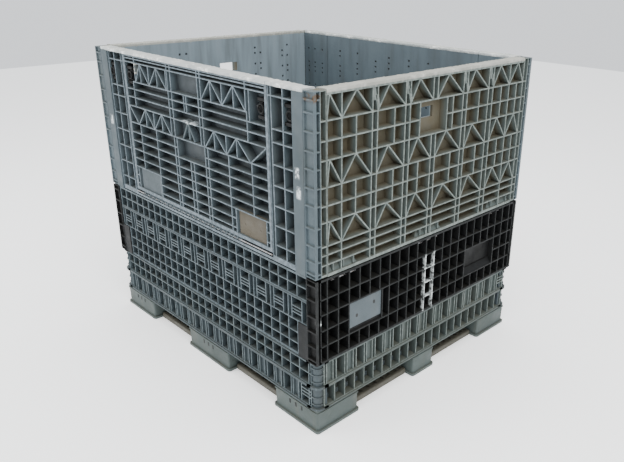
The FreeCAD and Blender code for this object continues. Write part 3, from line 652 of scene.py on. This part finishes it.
def makeLowerSide(side):
    s = lowerShape
    x, y, z = sideBox(side + "_lower_panel", side)
    y = (y[0], s["top"])
    bm = bmesh.new()
    addBlock(bm, x, y, z)
    level = z[1]
    cutHeights(bm, level, s["rows"])
    count = round((x[1] - x[0]) / s["pitch"])
    pitch = (x[1] - x[0] - 8) / count
    posts = [x[0] + 4 + pitch * k for k in range(count + 1)]
    cutPosts(bm, level, posts, y=s["lowCells"])
    cutPosts(bm, level, posts, y=s["highCells"])
    odd = [(everywhere, s["ledge"], None)]
    for k in range(0, count, 2):
        left = posts[k]
        right = posts[k + 2]
        inner = (left + s["group"][0], right - s["group"][1])
        cutPosts(bm, level, [left, inner[0], inner[1]], y=s["band"])
        if k == count - 2:
            cutPosts(bm, level, [right], y=s["band"])
        cutHeights(bm, level, s["ladder"], x=inner, y=s["band"])
        odd.append(((left, inner[0]), s["band"], s["groupDepths"][0]))
        odd.append((inner, (s["band"][0], s["ladder"][0]), s["groupDepths"][1]))
        odd.append((inner, (s["ladder"][0], s["ladder"][2]), s["groupDepths"][2]))
    for sign in (1, -1):
        odd.append((halfSpan(sign, x[1] - s["tab"], x[1]), (y[0], s["lowCells"][1]), s["tabDepth"]))
    sinkPattern(bm, level, (x[0] + 3, x[1] - 3), (s["rows"][0], s["rows"][-1]), s["rib"], s["depth"], odd)
    piece = Piece(side + "_lower_side").add(bm, side)
    # the ledge stands slightly proud
    ledge = (s["ledge"][0] + 1, s["ledge"][1] - 1)
    piece.add(block(x, ledge, (z[1] - 2, z[1] + 2.5), 1.2, 1, along=0), side)
    # the lower finish is the darker copy of the wall gray, as painted shade
    piece.finish("base_frame", "gray_plastic", [plastics["lower"]], [side + "_lower_panel"])


for side in ("front", "rear"):
    makeLowerSide(side)
print("lower sides made")

# black lower ends
blackShape = {
    "rib": 6,
    "depth": 42,
    "pitch": 53.0,
    "rows": (306, 368, 432, 495, 555, 626),
    "margin": 12,                # the panel stops short of the corner columns
    "border": 5,
    "placardCells": (2, 6),      # numbers of the posts beside the two recesses
    "labelCells": (15, 19),
    "recess": (368, 495),
    "labelDepth": 24,
    "edge": 24,
    "edgeRows": (316, 370, 430, 490, 555, 610),
    "edgeRib": 7,
    "edgeDepth": 16,
    "tab": (300, 441),
    "tabWidth": 52,
}


def makeLowerEnd(side):
    s = blackShape
    x, y, z = sideBox(side + "_lower_panel", side)
    z = (sideBox(side + "_wall", side)[2][0], z[1])
    near = sideBox("front_lower_panel", "front")[2]
    bm = bmesh.new()
    half = x[1] - s["margin"]
    addBlock(bm, (-half, half), y, z)
    level = z[1]
    cutHeights(bm, level, s["rows"])
    field = (s["border"] - half, half - s["border"])
    posts = [s["pitch"] * (k - 11.5) for k in range(24)]
    posts = [p for p in posts if abs(p) < half - 4]
    cutPosts(bm, level, list(field) + posts)
    placard = sideBox(side + "_placard", side)
    flat, label = [(posts[a], posts[b]) for a, b in (s["placardCells"], s["labelCells"])]
    for box in (flat, label):
        joinCells(bm, level, box, s["recess"])
    plateEnd = placard[0][1] + 4
    cutPosts(bm, level, [plateEnd], x=flat, y=s["recess"])
    odd = [((flat[0], plateEnd), s["recess"], level - placard[2][0]),
           (label, s["recess"], s["labelDepth"])]
    sinkPattern(bm, level, field, (s["rows"][0], s["rows"][-1]), s["rib"], s["depth"], odd)
    piece = Piece(side + "_lower_end").add(bm, side)
    # sloped ledge at the foot of the label recess
    foot = s["recess"][0] + 3
    ledge = block((label[0] + 3, label[1] - 3), (foot, foot + 25), (level - s["labelDepth"] - 2, level - 2))
    slope = [v for v in ledge.verts if v.co.y > foot + 19 and v.co.z > level - 4]
    bmesh.ops.translate(ledge, vec=(0, 0, -18), verts=slope)
    piece.add(ledge, side)
    for face in ("front", "rear"):
        out = 1 if (side, face) in (("right", "front"), ("left", "rear")) else -1
        edge = bmesh.new()
        addBlock(edge, halfSpan(out, z[0] - 0.5, z[1]), y, (x[1] - s["edge"], x[1]))
        cutHeights(edge, x[1], s["edgeRows"])
        sinkPattern(edge, x[1], everywhere, y, s["edgeRib"], s["edgeDepth"])
        piece.add(edge, face)
        tab = halfSpan(out, z[0] - s["tabWidth"], z[0])
        piece.add(block(tab, s["tab"], (near[1] - 8, x[1] - 1.5), 1.5, 1), face)
    piece.finish("base_frame", "black_plastic", [plastics["black"]], [side + "_lower_panel"])


def makePlacard(side):
    x, y, z = sideBox(side + "_placard", side)
    piece = Piece(side + "_placard_plate").add(block(x, y, z, 1.2, 2), side)
    # two oval holes, drawn as small ovals painted dark as shade
    for hole, height in ((x[0] + 38, y[0] + 42), (x[1] - 38, y[0] + 66)):
        oval = block((hole - 5, hole + 5), (height - 7, height + 7), (z[1] - 3, z[1] + 0.5), 3, 3, along=2)
        paintAll(oval, 1)
        piece.add(oval, side)
    piece.finish("base_frame", "pale_plastic", [plastics["pale"], plastics["hole"]], [side + "_placard"])


for side in ("right", "left"):
    makeLowerEnd(side)
    makePlacard(side)
print("lower ends made")

# upper long walls
wallShape = {
    "rib": 5,
    "depth": 40,
    "post": 52,
    "proud": 6,
    "opening": 491,
    "sill": 646.5,
    "rows": (655, 702, 775, 848, 922, 995, 1072, 1117, 1225),
    "columns": (507, 567, 617),
    "strip": 9,                     # depth of the shallow strip beside the opening
    "ribTop": 1250,
    "ventColumns": (530, 590, 640),
    "ventFoot": 700,
    "ventPitch": 24,
    "ventRows": 21,
    "ventSize": (11, 9),
}


def makeWall(side):
    s = wallShape
    node = side + "_wall"
    x, y, z = sideBox(node, side)
    z = (z[0], z[1] - s["proud"])
    bm = bmesh.new()
    bmesh.ops.create_grid(bm, x_segments=1, y_segments=1, size=0.5)
    bmesh.ops.scale(bm, vec=(x[1] - x[0], y[1] - y[0], 1), verts=bm.verts)
    bmesh.ops.translate(bm, vec=(sum(x) / 2, sum(y) / 2, z[0]), verts=bm.verts)
    for point, along in (((-s["opening"], 0), (0, 1)), ((s["opening"], 0), (0, 1)), ((0, s["sill"]), (1, 0))):
        cutFaces(bm, list(bm.faces), point, along)
    gap = [f for f in bm.faces if abs(f.calc_center_median().x) < s["opening"]
           and f.calc_center_median().y > s["sill"]]
    bmesh.ops.delete(bm, geom=gap, context="FACES")
    bmesh.ops.dissolve_limit(bm, angle_limit=0.01, verts=bm.verts, edges=bm.edges)
    made = bmesh.ops.extrude_face_region(bm, geom=list(bm.faces))["geom"]
    bmesh.ops.translate(bm, vec=(0, 0, z[1] - z[0]), verts=onlyVerts(made))
    bmesh.ops.recalc_face_normals(bm, faces=bm.faces)
    level = z[1]
    inner = s["opening"]
    outer = x[1] - s["post"]
    cutPosts(bm, level, [-outer, -inner, inner, outer])
    foot = s["rows"][0]
    odd = [((-inner, inner), everywhere, None)]
    for sign in (1, -1):
        column = halfSpan(sign, inner, outer)
        strip = halfSpan(sign, inner, s["columns"][0])
        cutHeights(bm, level, s["rows"], x=column)
        cutPosts(bm, level, [sign * c for c in s["columns"]], x=column)
        joinCells(bm, level, strip, (foot, s["rows"][-1]))
        odd.append((strip, everywhere, s["strip"]))
        odd.append((halfSpan(sign, s["columns"][2], outer), everywhere, None))
    sinkPattern(bm, level, (-outer, outer), (foot, s["ribTop"]), s["rib"], s["depth"], odd)
    for sign in (1, -1):
        ridge(bm, level, s["proud"], x=halfSpan(sign, outer, x[1]))
    heights = [s["ventFoot"] + s["ventPitch"] * k for k in range(s["ventRows"]) if k % 5 < 3]
    drill(bm, z[0], [(sign * c, heights) for sign in (1, -1) for c in s["ventColumns"]], s["ventSize"], -1)
    piece = Piece(side + "_wall_frame").add(bm, side)
    piece.finish(node, "gray_plastic", [plastics["side"], plastics["hole"]], [node])


# drop doors
doorShape = {
    "rib": 5,
    "depth": 40,
    "frame": 11,
    "foot": 665.5,
    "top": 5,                         # plain edge under the rim
    "field": 972,                     # plain rows below, then four bands
    "bands": ((972, 1045), (1045, 1150), (1150, 1228)),
    "recesses": (((-116, 72), (1150, 1228), 30), ((-106, 92), (892, 972), 32), ((-116, 72), (972, 1045), 34)),
    "handleRecess": ((-116, 72), (1045, 1083)),
    "latchPocket": (1118, 1228),
    "latchPosts": (367, 387, -396),
    "plateRow": 775,
    "plateGap": 12,
    "vents": (-420, -330, -210, -90, 40, 130, 260, 390),
    "ventFoot": 720,
    "ventPitch": 26,
    "ventRows": 19,
    "ventSize": (12, 9),
    "rows": (697, 735, 775, 813, 853, 892, 930, 972, 1045, 1083, 1118, 1150, 1228, 1243),
    "upperTruss": ((-396, 0), (-350, 1), (-286, 0), (-221, 1), (-151, 0)),
    "upperTrussRight": ((92, 0), (157, 1), (227, 0), (297, 1), (367, 0)),
    "upperPosts": (-396, -350, -286, -221, -151, -141, -116, 72, 92, 157, 227, 297, 367),
    "lowerTruss": ((-476, 1), (-406, 0), (-341, 1), (-276, 0), (-211, 1), (-145, 0)),
    "lowerTrussRight": ((97, 0), (162, 1), (237, 0), (302, 1), (382, 0), (476, 1)),
    "lowerPosts": (-341, -276, -211, -141, -116, 72, 92, 162, 237, 302),
    "middlePosts": (-416, -141, -116, -30, -14, 72, 92, 372),
    "topPosts": (-396, -141, -116, 72, 92, 367),
    "fieldPosts": (-396, -266, -126, -106, -16, 7, 92, 112, 247, 387),
}

# inverted V handle in the middle recess, and the toothed hinge strip along the foot
handleShape = {"lean": 32, "middle": -20, "spread": 22, "height": 1008, "stem": (-28, -14),
               "stemRow": (976, 1040)}
toothShape = {"count": 61, "start": -430, "pitch": 12, "foot": 650, "height": 10, "bar": (-432, 300),
              "barRow": (658, 670)}


def makeDoor(side):
    s = doorShape
    node = side + "_door"
    x, y, z = sideBox(node, side)
    wall = sideBox(side + "_wall", side)[2]
    level = wall[1] - wallShape["proud"]
    foot = s["foot"]
    bm = bmesh.new()
    addBlock(bm, x, (foot, y[1]), (wall[0], level))
    frameIn = foot + s["frame"]
    inside = (x[0] + s["frame"], x[1] - s["frame"])
    lowBand, middleBand, highBand = s["bands"]
    cutHeights(bm, level, (frameIn,) + s["rows"] + (y[1] - s["top"],))
    cutPosts(bm, level, inside)
    for band, kind in ((highBand, "upper"), (lowBand, "lower")):
        cutStruts(bm, level, band[0], band[1], s[kind + "Truss"])
        cutStruts(bm, level, band[0], band[1], s[kind + "TrussRight"])
    cutPosts(bm, level, s["upperPosts"], y=highBand)
    cutPosts(bm, level, s["lowerPosts"], y=lowBand)
    cutPosts(bm, level, s["middlePosts"], y=middleBand)
    cutPosts(bm, level, s["topPosts"], y=(highBand[1], y[1] - s["top"]))
    cutPosts(bm, level, s["fieldPosts"], y=(frameIn, s["field"]))
    # plain recesses in the middle and the latch pockets at both sides
    for columns, rows, depth in s["recesses"]:
        joinCells(bm, level, columns, rows)
    joinCells(bm, level, s["handleRecess"][0], s["handleRecess"][1])
    rightPost, boltPost, leftPost = s["latchPosts"]
    for pocket, post in (((rightPost, inside[1]), boltPost), ((inside[0], leftPost), leftPost)):
        joinCells(bm, level, pocket, s["latchPocket"])
        cutPosts(bm, level, [post], x=pocket, y=s["latchPocket"])
    # the two plates sit in shallow recesses
    odd = list(s["recesses"])
    for name in ("left", "right"):
        plate = sideBox(f"{side}_door_plate_{name}", side)
        box = (plate[0][0] - s["plateGap"], plate[0][1] + s["plateGap"])
        rows = (frameIn, s["plateRow"])
        cutPosts(bm, level, box, y=rows)
        joinCells(bm, level, box, rows)
        odd.append((box, rows, level - plate[2][0]))
    sinkPattern(bm, level, inside, (frameIn, y[1] - s["top"]), s["rib"], s["depth"], odd)
    for i, column in enumerate(s["vents"]):
        heights = [s["ventFoot"] + s["ventPitch"] * k for k in range(s["ventRows"]) if (k + i) % 4 < 3]
        drill(bm, wall[0], [(column, heights)], s["ventSize"], -1)
    piece = Piece(side + "_drop_door").add(bm, side)
    h = handleShape
    for lean in (1, -1):
        bar = block((-4, 4), (-38, 38), (level - 30, level - 3), 1.5, 1, along=1)
        turn = Matrix.Rotation(lean * math.radians(h["lean"]), 3, "Z")
        bmesh.ops.rotate(bar, verts=bar.verts, cent=(0, 0, 0), matrix=turn)
        bmesh.ops.translate(bar, vec=(h["middle"] + lean * h["spread"], h["height"], 0), verts=bar.verts)
        piece.add(bar, side)
    piece.add(block(h["stem"], h["stemRow"], (level - 32, level - 8), 2, 1, along=1), side)
    t = toothShape
    for k in range(t["count"]):
        at = t["start"] + k * t["pitch"]
        low = t["foot"] + (k % 2) * 4
        depth = (level - 11, level + 3 + (k % 3))
        piece.add(block((at, at + t["pitch"] / 2), (low, low + t["height"]), depth, 1.8, 1, along=0), side)
    piece.add(block(t["bar"], t["barRow"], (level - 14, level - 2), 2, 1, along=0), side)
    piece.finish(node, "gray_plastic", [plastics["side"], plastics["hole"]], [node])
    for name in ("left", "right"):
        makeDoorPlate(side, name)


def makeDoorPlate(side, name):
    node = f"{side}_door_plate_{name}"
    x, y, z = sideBox(node, side)
    bm = block(x, y, z, 1.2, 2)
    shade = "beige" if (side, name) == ("front", "right") else "pale"  # one plate has aged beige
    piece = Piece(node + "_panel").add(bm, side)
    middle = (sum(y) / 2 - 3, sum(y) / 2 + 3)
    for at in (x[0] + 34, x[1] - 34):
        pin = block((at - 3, at + 3), middle, (z[1] - 2, z[1] + 0.6), 2.5, 3, along=2)
        piece.add(pin, side)
    for low, high in ((y[0] - 5, y[0]), (y[1], y[1] + 5)):
        piece.add(block((x[0] - 5, x[1] + 5), (low, high), (z[0] - 2, z[1] + 2), 1.5, 1), side)
    piece.finish(side + "_door", shade + "_plastic", [plastics[shade]], [node])


for side in ("front", "rear"):
    makeWall(side)
    makeDoor(side)
print("upper sides and doors made")

# upper end walls
endShape = {
    "rib": 5.5,
    "depth": 38,
    "rows": (645, 682, 718, 750, 835, 892, 955, 1045, 1108, 1172),
    "doubles": ((-350, -325), (-185, -160), (-35, -10), (145, 170), (310, 340)),
    "singles": (-490, 455),
    "between": (-425, -240, -105, 85, 250, 400, 510),
    "apexes": (-543, -425, -270, -112, 52, 215, 385, 510),
    "window": ((-105, 50), (1045, 1172)),
    "vents": ((-470, (795, 865, 925, 1075, 1140)), (-405, (865, 925, 1075, 1140)),
              (275, (1075, 1140)), (420, (795, 865, 925, 1075, 1140)), (480, (865, 925))),
    "plate": 34,
    "slotX": (-103, 4),
    "slotY": (1100, 1142),
    "foot": 637,
    "top": 4,
    "trusses": ((955, 1045), (750, 835)),
    "betweenRows": ((835, 955), (1045, 1172)),
    "scuffedBay": ((-545, -490), (750, 955), 33),
    "gapDepth": 40,
    "ventSize": (9, 8),
    "liningVents": (-430, -395, -250, -215, 190, 225, 262, 395, 430, 470),
    "liningFoot": 690,
    "liningPitch": 27,
    "liningRows": 20,
    "liningSize": (11, 10),
    "tabs": ((-478, 150), (-15, 170), (464, 178)),      # middle and width of each hinge tab
    "catches": (-337, -172, 158, 325),
}


def makeEndWall(side):
    s = endShape
    node = side + "_wall"
    x, y, z = sideBox(node, side)
    y = (s["foot"], y[1])
    bm = bmesh.new()
    addBlock(bm, x, y, z)
    level = z[1]
    cutHeights(bm, level, s["rows"])
    lines = sorted([v for pair in s["doubles"] for v in pair] + list(s["singles"]))
    edges = [x[0]] + lines + [x[1]]
    head = y[1] - s["top"]
    cutHeights(bm, level, [head])
    for low, high in ((s["rows"][-1], head),) + s["trusses"]:
        for apex in s["apexes"]:
            left = max(e for e in edges if e < apex)
            right = min(e for e in edges if e > apex)
            cutStruts(bm, level, low, high, ((left, 0), (apex, 1), (right, 0)))
    cutPosts(bm, level, lines)
    for rows in s["betweenRows"]:
        cutPosts(bm, level, s["between"], y=rows)
    across, upright = s["window"]
    cutPosts(bm, level, across, y=upright)
    joinCells(bm, level, across, upright)
    odd = [(across, upright, s["plate"]), s["scuffedBay"]]
    odd += [(pair, everywhere, s["gapDepth"]) for pair in s["doubles"]]
    sinkPattern(bm, level, (x[0] + 1, x[1] - 1), (s["rows"][0], head), s["rib"], s["depth"], odd)
    openSlot(bm, side, level - s["plate"], z[0])
    # the narrow gaps between double ribs are painted dark as shade, and some pockets have vent holes
    for pair in s["doubles"]:
        for face in facesIn(bm, level - s["gapDepth"], pair):
            face.material_index = 1
    drill(bm, level - s["depth"], s["vents"], s["ventSize"], 1, 45)
    for i, column in enumerate(s["liningVents"]):
        heights = [s["liningFoot"] + s["liningPitch"] * k for k in range(s["liningRows"])
                   if (k * 3 + i) % 5 < 3]
        drill(bm, z[0], [(column, heights)], s["liningSize"], -1)
    piece = Piece(side + "_end_wall").add(bm, side)
    # sloped hinge tabs over the lower panel
    for middle, width in s["tabs"]:
        tab = block((middle - width / 2, middle + width / 2), (y[0], y[0] + 41), (level - 30, level - 1))
        top = [v for v in tab.verts if v.co.y > y[0] + 33]
        bmesh.ops.scale(tab, vec=(0.72, 1, 1), verts=top, space=Matrix.Translation((-middle, 0, 0)))
        bmesh.ops.translate(tab, vec=(0, 0, -22), verts=[v for v in top if v.co.z > level - 4])
        roundEdges(tab, tab.edges, 1.5, 1)
        piece.add(tab, side)
        for reach in (-0.32, 0.0, 0.32):
            at = middle + reach * width
            piece.add(block((at - 3, at + 3), (y[0] + 13, y[0] + 47), (level - 34, level - 2), 1.2, 1), side)
    # stepped catches between the truss bays
    for at in s["catches"]:
        for shift, low, high in ((-10, 1208, 1258), (6, 1180, 1226)):
            step = block((at + shift - 7, at + shift + 9), (low, high), (level - 34, level - 0.8), 1.5, 1)
            foot = [v for v in step.verts if v.co.y < (low + high) / 2]
            bmesh.ops.translate(step, vec=(10, 0, 0), verts=foot)
            piece.add(step, side)
    piece.finish(node, "gray_plastic", [plastics["end"], plastics["hole"]], [node])


def openSlot(bm, side, front, back):
    # the hand slot goes right through the window plate
    x, y = endShape["slotX"], endShape["slotY"]
    for level, out in ((front, 1), (back, -1)):
        window = endShape["window"] if out == 1 else (everywhere, everywhere)
        for edge in x:
            cutFaces(bm, facesIn(bm, level, window[0], window[1], out), (edge, 0), (0, 1))
        for edge in y:
            cutFaces(bm, facesIn(bm, level, window[0], window[1], out), (0, edge), (1, 0))
    mouths = facesIn(bm, front, x, y) + facesIn(bm, back, x, y, -1)
    edges = [e for f in mouths for e in f.edges]
    bmesh.ops.delete(bm, geom=mouths, context="FACES_ONLY")
    bmesh.ops.bridge_loops(bm, edges=edges)


for side in ("right", "left"):
    makeEndWall(side)
print("end walls made")

# rims
rimShape = {"step": 9, "wobble": 2.0, "waves": 0.09, "radius": 3}


def wornBar(x, y, z):
    s = rimShape
    bm = block(x, y, z, s["radius"], 2, along=0)
    long = [e for e in bm.edges if abs(e.verts[0].co.x - e.verts[1].co.x) > 20]
    bmesh.ops.subdivide_edges(bm, edges=long, cuts=int((x[1] - x[0]) / s["step"]), use_grid_fill=True)
    for vert in bm.verts:
        if x[0] + 1 < vert.co.x < x[1] - 1:
            at = vert.co * s["waves"]
            inward = -1 if vert.co.z > sum(z) / 2 else 1
            vert.co.y -= s["wobble"] * (0.5 + noise.noise(at))
            vert.co.z += inward * s["wobble"] * (0.4 + noise.noise(at + Vector((7, 3, 1))))
    return bm


for side in ("front", "rear"):
    for name in ("wall_rim_left", "wall_rim_right", "door_rim"):
        node = f"{side}_{name}"
        body = side + ("_door" if name == "door_rim" else "_wall")
        piece = Piece(node + "_bar").add(wornBar(*sideBox(node, side)), side)
        piece.finish(body, "worn_rim", [plastics["rim"]], [node], smooth=40)
for side in ("right", "left"):
    node = side + "_wall_rim"
    x, y, z = sideBox(node, side)
    piece = Piece(node + "_bar").add(wornBar(x, (y[0] - 6, y[1]), z), side)
    piece.finish(side + "_wall", "worn_rim", [plastics["endRim"]], [node], smooth=40)
print("rims made")

# finned corners, carried by the long walls
cornerShape = {
    "fins": (655, 700, 757, 820, 897, 957, 1020, 1078, 1140, 1200, 1240),
    "strip": 10,
    "rib": 6,
    "gap": 2,
    "split": 582,
    "foot": 640,
    "deep": 42,
    "pocket": 34,
    "keep": 0.03,                   # a flatness value for the corner
}
# the end that each corner returns along, and which half of that end
cornerEnd = {("front", 1): ("right", -1), ("front", -1): ("left", 1),
             ("rear", 1): ("left", -1), ("rear", -1): ("right", 1)}


def makeCorner(side, sign):
    s = cornerShape
    wall = sideBox(side + "_wall", side)
    outer = sideBox("base", side)[0][1]
    top = sideBox(side + "_wall_rim_left", side)[1][1] - 4
    faceOut = wall[2][1]
    piece = Piece(f"{side}_{'right' if sign > 0 else 'left'}_corner")
    rise = (s["foot"], top)
    bm = bmesh.new()
    addBlock(bm, halfSpan(sign, wall[0][1] + s["gap"], outer), rise, (faceOut - s["strip"], faceOut))
    cutHeights(bm, faceOut, s["fins"])
    sinkPattern(bm, faceOut, everywhere, rise, s["rib"], s["strip"] - 2.5)
    piece.add(bm, side)
    # the return along the end wall, drawn in that end's frame
    end, near = cornerEnd[(side, sign)]
    inner = sideBox(end + "_wall", end)[0][1] + s["gap"]
    columns = ((inner, s["split"], endShape["rows"], 1), (s["split"], faceOut - s["strip"], s["fins"], 0))
    for start, stop, heights, finish in columns:
        bm = bmesh.new()
        addBlock(bm, halfSpan(near, start, stop), rise, (outer - s["deep"], outer))
        cutHeights(bm, outer, heights)
        sinkPattern(bm, outer, everywhere, rise, s["rib"] - 1, s["pocket"])
        paintAll(bm, finish)
        piece.add(bm, end)
    made = piece.finish(side + "_wall", "gray_plastic", [plastics["corner"], plastics["end"]])
    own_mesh(made)


for side in ("front", "rear"):
    for sign in (1, -1):
        makeCorner(side, sign)
print("corners made")

# latches and springs
latchShape = {"radius": 2.5, "bolt": 15, "grip": 20, "ring": 15, "wire": 3.2, "guide": 48, "web": 10}


def makeLatch(side, kind, name):
    s = latchShape
    node = f"{side}_{kind}_latch_{name}"
    x, y, z = sideBox(node, side)
    sign = 1 if sum(x) > 0 else -1
    inner = min(abs(x[0]), abs(x[1]))
    far = max(abs(x[0]), abs(x[1]))
    piece = Piece(node + "_bolt")
    bolt = halfSpan(sign, inner, far)
    piece.add(block(bolt, (y[0] + 6, y[1] - 6), (z[0], z[0] + s["bolt"]), s["radius"], 2), side)
    grip = halfSpan(sign, inner, inner + s["grip"])
    piece.add(block(grip, y, (z[0] + 4, z[1] - 8), s["radius"], 2), side)
    for at in (inner + 4, inner + 10, inner + 16):
        ridges = block(halfSpan(sign, at, at + 3), (y[0] + 4, y[1] - 4), (z[1] - 10, z[1] - 4), 1, 1)
        piece.add(ridges, side)
    # finger loop, spun round from a small ring
    loop = bmesh.new()
    start = bmesh.ops.create_circle(loop, cap_ends=False, segments=8, radius=s["wire"])["verts"]
    bmesh.ops.rotate(loop, verts=start, cent=(0, 0, 0), matrix=Matrix.Rotation(math.pi / 2, 3, "Y"))
    bmesh.ops.translate(loop, vec=(0, s["ring"], 0), verts=start)
    bmesh.ops.spin(loop, geom=list(loop.edges) + list(loop.verts), cent=(0, 0, 0), axis=(0, 0, 1),
                   angle=2 * math.pi, steps=20, use_merge=True)
    bmesh.ops.remove_doubles(loop, verts=loop.verts, dist=0.01)
    bmesh.ops.recalc_face_normals(loop, faces=loop.faces)
    bmesh.ops.translate(loop, vec=(sign * (inner + 14), sum(y) / 2, z[1] - s["wire"]), verts=loop.verts)
    piece.add(loop, side)
    piece.finish(node, "dark_plastic", [plastics["latch"]], [node], smooth=40)


def makeHousing(side, kind, sign):
    # guide rails either side of the bolt, fixed in the pocket
    s = latchShape
    name = "right" if sign > 0 else "left"
    y, z = sideBox(f"{side}_{kind}_latch_{name}", side)[1:]
    body = side + "_" + kind
    pocketEnd = doorShape["frame"] if kind == "door" else wallShape["post"] + 4
    far = sideBox(body, side)[0][1] - pocketEnd
    piece = Piece(f"{body}_{name}_guide")
    for rail in ((y[0] - 14, y[0] - 2), (y[1] + 2, y[1] + 14)):
        guide = block(halfSpan(sign, far - s["guide"], far), rail, (z[0] - 6, z[1] - 4), s["radius"], 2)
        piece.add(guide, side)
    web = halfSpan(sign, far - s["web"], far)
    piece.add(block(web, (y[0] - 20, y[1] + 20), (z[0] - 6, z[0] + 24), s["radius"], 2), side)
    piece.finish(body, "dark_plastic", [plastics["latch"]], smooth=40)


springShape = {"wire": 0.9, "turns": 7, "steps": 12, "length": 26}


def makeSprings(side, kind):
    s = springShape
    node = f"{side}_{kind}_latch_springs"
    x, y, z = sideBox(node, side)
    piece = Piece(node + "_coils")
    radius = (y[1] - y[0]) / 2 - s["wire"]
    for sign in (1, -1):
        coil = bmesh.new()
        start = bmesh.ops.create_circle(coil, cap_ends=True, segments=6, radius=s["wire"])["verts"]
        bmesh.ops.translate(coil, vec=(0, radius, 0), verts=start)
        pitch = s["length"] / (s["turns"] * s["steps"])
        bmesh.ops.spin(coil, geom=list(coil.faces), cent=(0, 0, 0), axis=(1, 0, 0), dvec=(sign * pitch, 0, 0),
                       angle=2 * math.pi * s["turns"], steps=s["turns"] * s["steps"], use_merge=False)
        bmesh.ops.recalc_face_normals(coil, faces=coil.faces)
        start = Vector((sign * (x[1] - s["length"] - 1), sum(y) / 2, sum(z) / 2))
        bmesh.ops.translate(coil, vec=start, verts=coil.verts)
        piece.add(coil, side)
    piece.finish(side + "_" + kind, "steel", [steel], [node], smooth=60)


for side in ("front", "rear"):
    for kind in ("door", "wall"):
        for name, sign in (("left", -1), ("right", 1)):
            makeLatch(side, kind, name)
            makeHousing(side, kind, sign)
        makeSprings(side, kind)
print("latches made")

# hinge pins and rods stay as the frame has them
for name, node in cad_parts.items():
    if name.endswith("_pins") or name.endswith("_rod"):
        node.data.materials.clear()
        node.data.materials.append(steel)

# floor, light and camera
studio = {
    "floor": "fbfbfa",
    "glow": 0.6,
    "aim": (0, 0, 0.6),
    "half": 9,
    "world": (0.93, 0.96, 1.0, 1.0),
    "worldStrength": 1.25,
    "key": ((3.2, -1.6, 4.2), 3.4, 230.0),
    "fill": ((-2.8, -4.0, 2.8), 3.6, 150.0),
    "top": ((0.2, 0.4, 4.6), 4.2, 150.0),
}
view = {
    "place": (2.218, -1.916, 1.631),
    "azimuth": 44.37,
    "elevation": 22.61,
    "roll": 0.97,
    "lens": 38.16,
    "shift": (-0.0812, 0.0076),
}


def makeStudio():
    bm = bmesh.new()
    bmesh.ops.create_grid(bm, x_segments=1, y_segments=1, size=studio["half"])
    mesh = bpy.data.meshes.new("studioFloor")
    bm.to_mesh(mesh)
    bm.free()
    floor = bpy.data.objects.new("studioFloor", mesh)
    bpy.context.scene.collection.objects.link(floor)
    tree = Tree("studioFloor")
    tree.shader.inputs["Base Color"].default_value = tint(studio["floor"])
    tree.shader.inputs["Roughness"].default_value = 0.9
    tree.shader.inputs["Emission Color"].default_value = tint(studio["floor"])
    tree.shader.inputs["Emission Strength"].default_value = studio["glow"]
    mesh.materials.append(tree.material)
    world = bpy.data.worlds.new("studioWorld")
    bpy.context.scene.world = world
    world.use_nodes = True
    world.node_tree.nodes["Background"].inputs["Color"].default_value = studio["world"]
    world.node_tree.nodes["Background"].inputs["Strength"].default_value = studio["worldStrength"]
    for name in ("key", "fill", "top"):
        place, size, power = studio[name]
        lamp = bpy.data.lights.new(name + "Light", "AREA")
        lamp.energy = power
        lamp.size = size
        light = bpy.data.objects.new(name + "Light", lamp)
        light.location = place
        towards = Vector(studio["aim"]) - Vector(place)
        light.rotation_euler = towards.to_track_quat("-Z", "Y").to_euler()
        bpy.context.scene.collection.objects.link(light)


def makeCamera():
    lens = bpy.data.cameras.new("productCamera")
    lens.lens = view["lens"]
    lens.sensor_width = 36
    lens.shift_x, lens.shift_y = view["shift"]
    camera = bpy.data.objects.new("productCamera", lens)
    turn = (Matrix.Rotation(math.radians(view["azimuth"]), 3, "Z")
            @ Matrix.Rotation(math.radians(90 - view["elevation"]), 3, "X")
            @ Matrix.Rotation(math.radians(view["roll"]), 3, "Z"))
    camera.location = view["place"]
    camera.rotation_euler = turn.to_euler()
    bpy.context.scene.collection.objects.link(camera)
    bpy.context.scene.camera = camera


makeStudio()
makeCamera()
print("studio made")
